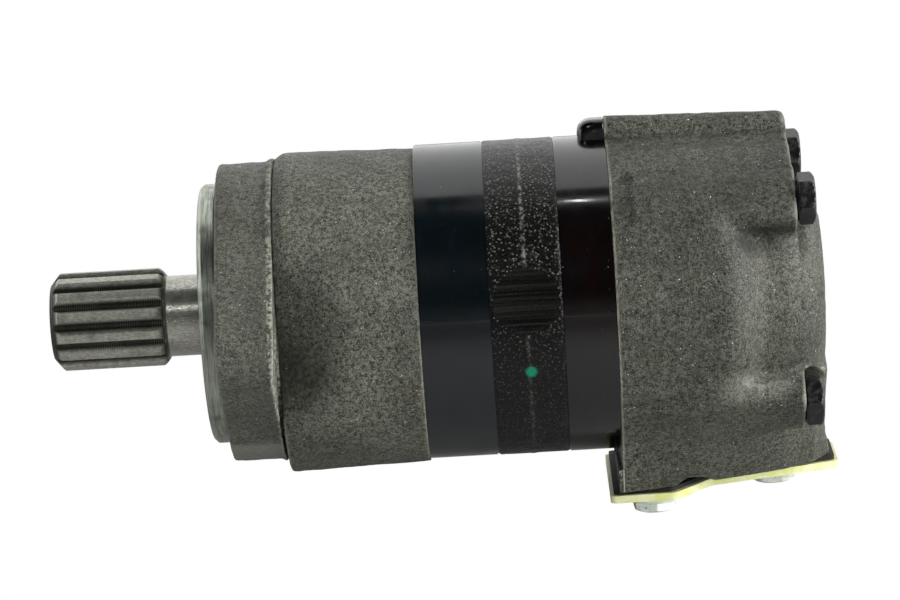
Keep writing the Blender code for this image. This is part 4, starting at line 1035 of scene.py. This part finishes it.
def gloss_plate(name, base, sheen, mottled):
    """Ground steel with a thin black oxide: nearly a mirror, with faint grinding lines."""
    finish = Finish(name, Metallic=0.0, Specular_IOR_Level=0.6, Coat_Weight=0.45,
                    Coat_Roughness=0.05)
    streaks = finish.noise(5.0, 3.0, 0.6, finish.stretched(1.0, 0.25, 0.25))
    lines = finish.noise(0.35, 2.0, 0.6, finish.stretched(1.0, 0.02, 0.02))
    clouds = finish.between(finish.noise(14.0, 3.0), 0.4, 0.7, 0.0, 0.8)
    dust = finish.between(finish.noise(0.6, 1.0), 0.80, 0.81)
    colour = finish.mix(finish.between(streaks, 0.35, 0.7), base, sheen)
    colour = finish.mix(clouds, colour, mottled)
    colour = finish.mix(dust, colour, srgb(150, 148, 140))
    roughness = finish.between(streaks, 0.3, 0.7, 0.24, 0.14)
    return finish.done(colour, roughness, finish.bump(lines, 0.02, 0.25))


def ring_iron():
    """Rough black casting with a parting line, a ground patch, a paint dot and painted glints;
    the glints and the parting line are painted brighter towards the top.
    """
    finish = Finish("ring_iron_rough", Metallic=0.0, Specular_IOR_Level=0.38)
    x, z = finish.axis("X"), finish.axis("Z")
    middle = (RING[0] + RING[1]) / 2.0
    grain = finish.noise(0.55, 2.0, 0.6)
    # Painted glints: light dots on the black skin, fading towards the bottom where less light
    # reflects.
    glint_dots = finish.between(finish.cells(0.95), 0.45, 0.15)
    glint_dots = finish.times(glint_dots, finish.between(grain, 0.40, 0.62))
    glint_dots = finish.times(glint_dots, finish.between(z, -14.0 * MM, 20.0 * MM, 0.25, 1.0))
    colour = finish.mix(glint_dots, srgb(3, 4, 3), srgb(112, 113, 104))
    line = finish.between(finish.far_from(x, middle * MM), 0.1 * MM, 0.9 * MM, 1.0, 0.0)
    line = finish.times(line, finish.between(finish.noise(1.6, 4.0, 0.7), 0.42, 0.66))
    # The parting line gets a light colour that is painted brighter towards the top, as a painted
    # highlight.
    line = finish.times(line, finish.between(z, -12.0 * MM, 16.0 * MM, 0.12, 0.55))
    colour = finish.mix(line, colour, srgb(150, 149, 142))
    scuffs = finish.between(finish.noise(6.0, 5.0, 0.75), 0.62, 0.70)
    colour = finish.mix(finish.times(scuffs, 0.12), colour, srgb(110, 110, 104))
    patch = finish.dot((middle, *around(49.4, RING_GROUND_ANGLE)), 10.3, 0.3)
    cuts = finish.noise(0.42, 1.0, 0.5, finish.stretched(0.004, 0.004, 1.0))
    ground = finish.mix(finish.between(cuts, 0.40, 0.65), srgb(3, 3, 3), srgb(24, 25, 22))
    colour = finish.mix(patch, colour, ground)
    paint = finish.dot((middle + 0.4, *around(50.0, PAINT_ANGLE)), 1.7, 0.6)
    colour = finish.mix(paint, colour, srgb(8, 112, 82))
    roughness = finish.between(grain, 0.3, 0.7, 0.36, 0.24)
    height = finish.mix(patch, grain, finish.times(cuts, 0.1))
    return finish.done(colour, roughness, finish.bump(height, 0.20, 1.0))


def turned_steel(name, base, light, along, rough=(0.28, 0.42), metallic=0.9):
    """Machined steel with tool marks drawn out along the axes where along is small."""
    finish = Finish(name, Metallic=metallic)
    marks = finish.noise(0.5, 3.0, 0.65, finish.stretched(*along))
    clouds = finish.noise(7.0, 4.0, 0.6)
    colour = finish.mix(finish.between(marks, 0.3, 0.7), base, light)
    stain = finish.between(clouds, 0.48, 0.75, 0.0, 0.7)
    colour = finish.mix(stain, colour, scaled(base, 0.55))
    roughness = finish.between(clouds, 0.3, 0.7, *rough)
    return finish.done(colour, roughness, finish.bump(marks, 0.03, 0.5))


def shaft_steel():
    """Machined steel. Between the teeth it is painted darker, a painted shade, with the hob's marks
    across.
    """
    finish = Finish("shaft_steel", Metallic=0.75)
    x = finish.axis("X")
    grain = finish.noise(0.4, 3.0, 0.65, finish.stretched(0.3, 1.0, 1.0))
    clouds = finish.noise(6.0, 4.0, 0.6)
    colour = finish.mix(finish.between(grain, 0.3, 0.7), srgb(152, 152, 142), srgb(204, 204, 193))
    colour = finish.mix(finish.between(clouds, 0.48, 0.75, 0.0, 0.5), colour, srgb(92, 88, 80))
    on_spline = finish.between(x, 35.5 * MM, 37.5 * MM, 1.0, 0.0)
    # Painted shade: the roots between the teeth are painted darker, by their distance from the
    # axis.
    low = finish.between(finish.off_axis(), 13.9 * MM, 15.4 * MM, 1.0, 0.0)
    hob = finish.math("SINE", finish.times(x, 2.0 * math.pi / (HOB_PITCH * MM)))
    patchy = finish.between(finish.noise(9.0, 2.0), 0.46, 0.62)
    hob = finish.math("ADD", finish.times(hob, patchy), grain)
    groove_shade_and_hob = finish.mix(finish.between(hob, 0.1, 1.4), srgb(40, 40, 34), srgb(92, 93, 84))
    colour = finish.mix(finish.times(on_spline, low), colour, groove_shade_and_hob)
    roughness = finish.between(on_spline, 0.0, 1.0, 0.24, 0.46)
    return finish.done(colour, roughness, finish.bump(grain, 0.02, 0.5))


def dark_bolt():
    finish = Finish("black_bolt_oxide", Metallic=0.0, Specular_IOR_Level=0.55)
    worn = finish.noise(1.8, 4.0, 0.65)
    colour = finish.mix(finish.between(worn, 0.4, 0.75), srgb(10, 10, 11), srgb(40, 41, 42))
    roughness = finish.between(worn, 0.35, 0.7, 0.32, 0.50)
    return finish.done(colour, roughness, finish.bump(finish.noise(0.6, 2.0), 0.05, 0.5))


def plated(name, base, cloud, grime, metallic):
    """Zinc plate: cloudy, with faint drawing lines and spots of grime."""
    finish = Finish(name, Metallic=metallic)
    clouds = finish.noise(5.0, 4.0, 0.6)
    spots = finish.between(finish.noise(1.9, 5.0, 0.7), 0.60, 0.66)
    lines = finish.noise(0.4, 2.0, 0.6, finish.stretched(0.08, 1.0, 1.0))
    colour = finish.mix(finish.between(clouds, 0.35, 0.65), base, cloud)
    colour = finish.mix(finish.times(spots, 0.75), colour, grime)
    roughness = finish.between(clouds, 0.3, 0.7, 0.34, 0.52)
    return finish.done(colour, roughness, finish.bump(lines, 0.03, 0.4))


def soft_black(name, base, light, rough):
    """Rubber, or the brown plastic of the inner seals: fine grain and a little dust."""
    finish = Finish(name, Metallic=0.0, Specular_IOR_Level=0.4)
    grain = finish.noise(0.5, 3.0, 0.6)
    colour = finish.mix(finish.between(grain, 0.45, 0.8), base, light)
    roughness = finish.between(grain, 0.3, 0.7, rough, rough + 0.15)
    return finish.done(colour, roughness, finish.bump(grain, 0.06, 0.6))


def wear(obj, material):
    """Gives a piece, or a carried-over node, this one material."""
    obj.data.materials.clear()
    obj.data.materials.append(material)
    return obj


# ---- The motor ----

# Painted shade and painted highlight for the castings: dark balls where shade falls behind the
# flange ear, on and under the upper bolt bosses and under a lower boss; light balls on the lower
# bosses' upper sides, where they catch the light.
PAINTED_SHADE = srgb(14, 14, 11)
PAINTED_HIGHLIGHT = srgb(176, 176, 164)
HOUSING_PAINTED_SHADE = (((77.5, -45.5, -10.5), 12.5, 0.86, PAINTED_SHADE),)
VALVE_PAINTED_LIGHT = (
    ((219.0, -38.0, 21.6), 4.2, 0.75, PAINTED_SHADE),
    ((226.0, -37.6, 21.8), 4.2, 0.85, PAINTED_SHADE),
    ((233.0, -37.4, 22.0), 4.2, 0.85, PAINTED_SHADE),
    ((206.0, -34.0, 37.0), 13.0, 0.30, PAINTED_SHADE),
    ((224.0, -33.0, 39.0), 13.0, 0.30, PAINTED_SHADE),
    ((214.0, -43.0, -22.5), 4.6, 0.17, PAINTED_HIGHLIGHT),
    ((220.0, -41.5, -22.6), 4.6, 0.17, PAINTED_HIGHLIGHT),
    ((227.0, -40.0, -22.6), 4.6, 0.17, PAINTED_HIGHLIGHT),
    ((224.0, -36.5, -41.5), 4.0, 0.45, PAINTED_SHADE),
)
FLANGE_IRON = cast_iron("cast_iron_flange", 0.75, smooth_below=-35.5, bead_highlight=True)
HOUSING_IRON = cast_iron("cast_iron_housing", 0.87, painted_light=HOUSING_PAINTED_SHADE)
VALVE_IRON = cast_iron("cast_iron_valve", 0.59, machined=((178.0, 178.4),), painted_light=VALVE_PAINTED_LIGHT)
NAVY = gloss_plate("navy_steel_gloss", srgb(3, 9, 11), srgb(8, 16, 21), srgb(2, 5, 7))
BROWN = gloss_plate("oxide_steel_gloss", srgb(2, 0, 0), srgb(12, 5, 3), srgb(8, 6, 9))
RING_IRON = ring_iron()
SHAFT_STEEL = shaft_steel()
PILOT_STEEL = turned_steel("pilot_steel", srgb(128, 133, 122), srgb(192, 198, 185),
                           (1.0, 0.05, 0.05))
DRIVE_STEEL = turned_steel("drive_steel", srgb(110, 106, 100), srgb(150, 146, 140),
                           (0.1, 1.0, 1.0))
GROUND_STEEL = turned_steel("ground_steel_fine", srgb(168, 168, 168), srgb(205, 205, 205),
                            (0.1, 1.0, 1.0), (0.14, 0.24), 1.0)
SPRING_STEEL = turned_steel("spring_wire", srgb(96, 94, 92), srgb(140, 138, 134),
                            (1.0, 1.0, 1.0), (0.25, 0.4), 1.0)
BLACK_OXIDE = dark_bolt()
ZINC = plated("zinc_plate", srgb(214, 222, 210), srgb(238, 242, 234), srgb(84, 96, 86), 0.3)
YELLOW_ZINC = plated("yellow_zinc_plate", srgb(198, 202, 128), srgb(208, 212, 168),
                     srgb(196, 196, 140), 0.1)
RUBBER = soft_black("black_rubber_grain", srgb(12, 12, 12), srgb(34, 34, 33), 0.62)
SEAL_PLASTIC = soft_black("seal_plastic_grain", srgb(92, 78, 58), srgb(120, 104, 80), 0.45)


def stand_for(obj, node, material):
    """The piece wears a material, rides where its node rides and takes that node's place."""
    body = frame["nodes"][node]["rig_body"]
    wear(obj, material)
    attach(obj, body)
    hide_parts(node)
    return obj


CASTINGS = (
    ("mounting_flange", flange_field, FLANGE_IRON, 0.72, (55.5, -65, -47.5), (73.3, 65, 47.5)),
    ("bearing_housing", housing_field, HOUSING_IRON, 0.8, (73.6, -51, -52), (117.5, 51, 51)),
    ("valve_housing", valve_field, VALVE_IRON, 0.8, (178.2, -50.5, -59.2), (FOOT_REAR, 50.5, 56.8)),
)


def castings():
    for node, field, iron, cell, low, high in CASTINGS:
        casting = field_solid(f"{node}_casting", field, low, high, cell)
        stand_for(casting, node, iron)
    stand_for(pilot_ring(), "mounting_flange", PILOT_STEEL)


def stack():
    stand_for(wear_plate(), "wear_plate", NAVY)
    stand_for(rotor_ring(), "rotor_ring", RING_IRON)
    for piece in valve_plate():
        stand_for(piece, "valve_plate", BROWN)


def fasteners():
    for number, place in enumerate(BOLTS, start=1):
        stand_for(tie_bolt(number, place), f"tie_bolt_{number}", BLACK_OXIDE)
    for number, angle in enumerate(SCREW_ANGLES, start=1):
        turn = math.radians(angle)
        place = (SCREW_CIRCLE * math.cos(turn), SCREW_CIRCLE * math.sin(turn))
        screw = flange_screw(number, place)
        stand_for(screw, f"flange_screw_{number}", BLACK_OXIDE)
    for number, place in enumerate(COVER_SCREWS, start=1):
        stand_for(cover_screw(number, place), f"cover_screw_{number}", ZINC)
    stand_for(drain_plug(), "drain_plug", ZINC)


def port_side():
    cover, gasket = port_cover()
    stand_for(cover, "port_cover_plate", YELLOW_ZINC)
    stand_for(gasket, "port_gasket", RUBBER)


CARRIED = {
    "machined_steel": DRIVE_STEEL,
    "ground_steel": GROUND_STEEL,
    "black_rubber": RUBBER,
    "seal_plastic": SEAL_PLASTIC,
    "spring_steel": SPRING_STEEL,
}


def carried_over():
    """The pieces inside keep their CAD shapes and get finished materials."""
    slots = {part["node"]: part["material_slot"] for part in frame["record"]["subparts"]}
    for name, node in frame["nodes"].items():
        if not node.hide_render:
            wear(node, CARRIED[slots[name]])


# ---- Camera, floor and light ----


def camera():
    """Side view from 13 degrees up, a long lens, rolled so that the shaft end sits lower."""
    distance, elevation = 1250.0, math.radians(13.0)
    data = bpy.data.cameras.new("camera")
    data.lens, data.sensor_width = 157.0, 36.0
    data.clip_start, data.clip_end = 0.05, 20.0
    obj = bpy.data.objects.new("camera", data)
    place = Vector((148.3, -distance * math.cos(elevation), distance * math.sin(elevation)))
    aim = Vector((126.5, 0.0, 0.0))
    obj.location = place * MM
    obj.rotation_mode = "QUATERNION"
    roll = Quaternion((0.0, 0.0, 1.0), math.radians(-3.53))
    obj.rotation_quaternion = (aim - place).to_track_quat("-Z", "Y") @ roll
    bpy.context.scene.collection.objects.link(obj)
    bpy.context.scene.camera = obj


FLOOR_NEAR = 0.44               # how much light the floor throws back beside the motor
FLOOR_FAR = 0.14                # and towards the camera, where the studio is dim
FLOOR_FADE_START = 0.06
FLOOR_FADE_END = 0.42           # metres out from the shaft axis


def floor():
    """Pale floor that looks white to the camera and throws a soft light up at the motor."""
    bm = bmesh.new()
    half = 6.0
    level = cad_box[0].z - 0.0002
    corners = [bm.verts.new((x, y, level)) for x, y in
               ((-half, -half), (half, -half), (half, half), (-half, half))]
    bm.faces.new(corners)
    mesh = bpy.data.meshes.new("floor")
    bm.to_mesh(mesh)
    bm.free()
    obj = bpy.data.objects.new("floor", mesh)
    mesh.materials.append(floor_white())
    bpy.context.scene.collection.objects.link(obj)


def floor_white():
    made = bpy.data.materials.new("floor_white")
    made.use_nodes = True
    nodes, links = made.node_tree.nodes, made.node_tree.links
    nodes.clear()
    dull = nodes.new("ShaderNodeBsdfDiffuse")
    place = nodes.new("ShaderNodeTexCoord")
    across = nodes.new("ShaderNodeSeparateXYZ")
    links.new(place.outputs["Object"], across.inputs["Vector"])
    fade = smooth_range(nodes, links, across.outputs["Y"], -FLOOR_FADE_END, -FLOOR_FADE_START,
                        FLOOR_FAR, FLOOR_NEAR)
    links.new(fade, dull.inputs["Color"])
    white_to_camera(made.node_tree, dull.outputs["BSDF"], "ShaderNodeEmission",
                    "ShaderNodeOutputMaterial")
    return made


def white_to_camera(tree, lit, white_node, output_node):
    """Ends a node tree: plain white where the camera looks, and lit for all other rays."""
    nodes, links = tree.nodes, tree.links
    white = nodes.new(white_node)
    white.inputs["Strength"].default_value = 1.0
    rays = nodes.new("ShaderNodeLightPath")
    mix = nodes.new("ShaderNodeMixShader")
    out = nodes.new(output_node)
    links.new(rays.outputs["Is Camera Ray"], mix.inputs["Fac"])
    links.new(lit, mix.inputs[1])
    links.new(white.outputs[0], mix.inputs[2])
    links.new(mix.outputs["Shader"], out.inputs["Surface"])


SOFTBOX_TILT = -4.0             # degrees that the bright half of the studio leans back
SOFTBOX_GLOW = 1.45
FRONT_GLOW = 0.015
HORIZON_GLOW = 0.14             # the front's extra glow at the horizon, gone HORIZON_RISE above it
HORIZON_RISE = 0.22


def world():
    """White to the camera. For light, a bright studio overhead and behind, and a dim front."""
    made = bpy.data.worlds.new("studio")
    bpy.context.scene.world = made
    made.use_nodes = True
    nodes, links = made.node_tree.nodes, made.node_tree.links
    nodes.clear()
    place = nodes.new("ShaderNodeTexCoord")
    facing = nodes.new("ShaderNodeVectorMath")
    facing.operation = "DOT_PRODUCT"
    tilt = math.radians(SOFTBOX_TILT)
    facing.inputs[1].default_value = (0.0, math.cos(tilt), math.sin(tilt))
    links.new(place.outputs["Generated"], facing.inputs[0])
    height = nodes.new("ShaderNodeSeparateXYZ")
    links.new(place.outputs["Generated"], height.inputs["Vector"])
    softbox = smooth_range(nodes, links, facing.outputs["Value"], -0.02, 0.03,
                           FRONT_GLOW, SOFTBOX_GLOW)
    horizon = smooth_range(nodes, links, height.outputs["Z"], 0.0, HORIZON_RISE,
                           HORIZON_GLOW, 0.0)
    both = nodes.new("ShaderNodeMath")
    both.operation = "MAXIMUM"
    links.new(softbox, both.inputs[0])
    links.new(horizon, both.inputs[1])
    glow = nodes.new("ShaderNodeBackground")
    links.new(both.outputs["Value"], glow.inputs["Strength"])
    white_to_camera(made.node_tree, glow.outputs["Background"], "ShaderNodeBackground",
                    "ShaderNodeOutputWorld")


def lamp(name, place, aim, size, power, glossy=True):
    """A rectangular light, in metres and watts. One that isn't glossy shows in no reflection."""
    data = bpy.data.lights.new(name, "AREA")
    data.shape = "RECTANGLE"
    data.size, data.size_y = size
    data.energy = power
    obj = bpy.data.objects.new(name, data)
    obj.location = place
    obj.rotation_mode = "QUATERNION"
    obj.rotation_quaternion = (Vector(aim) - Vector(place)).to_track_quat("-Z", "Y")
    obj.visible_glossy = glossy
    bpy.context.scene.collection.objects.link(obj)


def studio():
    centre = (0.126, 0.0, 0.0)
    lamp("front_fill", (0.55, -1.65, 0.60), centre, (0.7, 0.7), 6.5, glossy=False)
    lamp("low_fill", (0.30, -1.2, -0.06), centre, (1.2, 0.1), 13.0, glossy=False)
    lamp("right_wall", (1.5, -0.36, 0.35), centre, (0.9, 1.2), 42.0)
    lamp("left_wall", (-1.5, -0.35, 0.2), centre, (0.7, 1.0), 4.0)
    lamp("neck_glint", (-0.12, -0.82, 0.58), (0.05, 0.0, 0.0), (0.08, 0.16), 0.4)
    lamp("window_glint", (0.185, -0.150, 1.02), (0.168, -0.033, 0.037), (0.006, 0.034), 0.05)
    bpy.context.scene.view_settings.view_transform = "Standard"
    bpy.context.scene.view_settings.look = "None"


stand_for(output_shaft(), "output_shaft", SHAFT_STEEL)
castings()
stack()
fasteners()
port_side()
carried_over()
world()
floor()
studio()
camera()
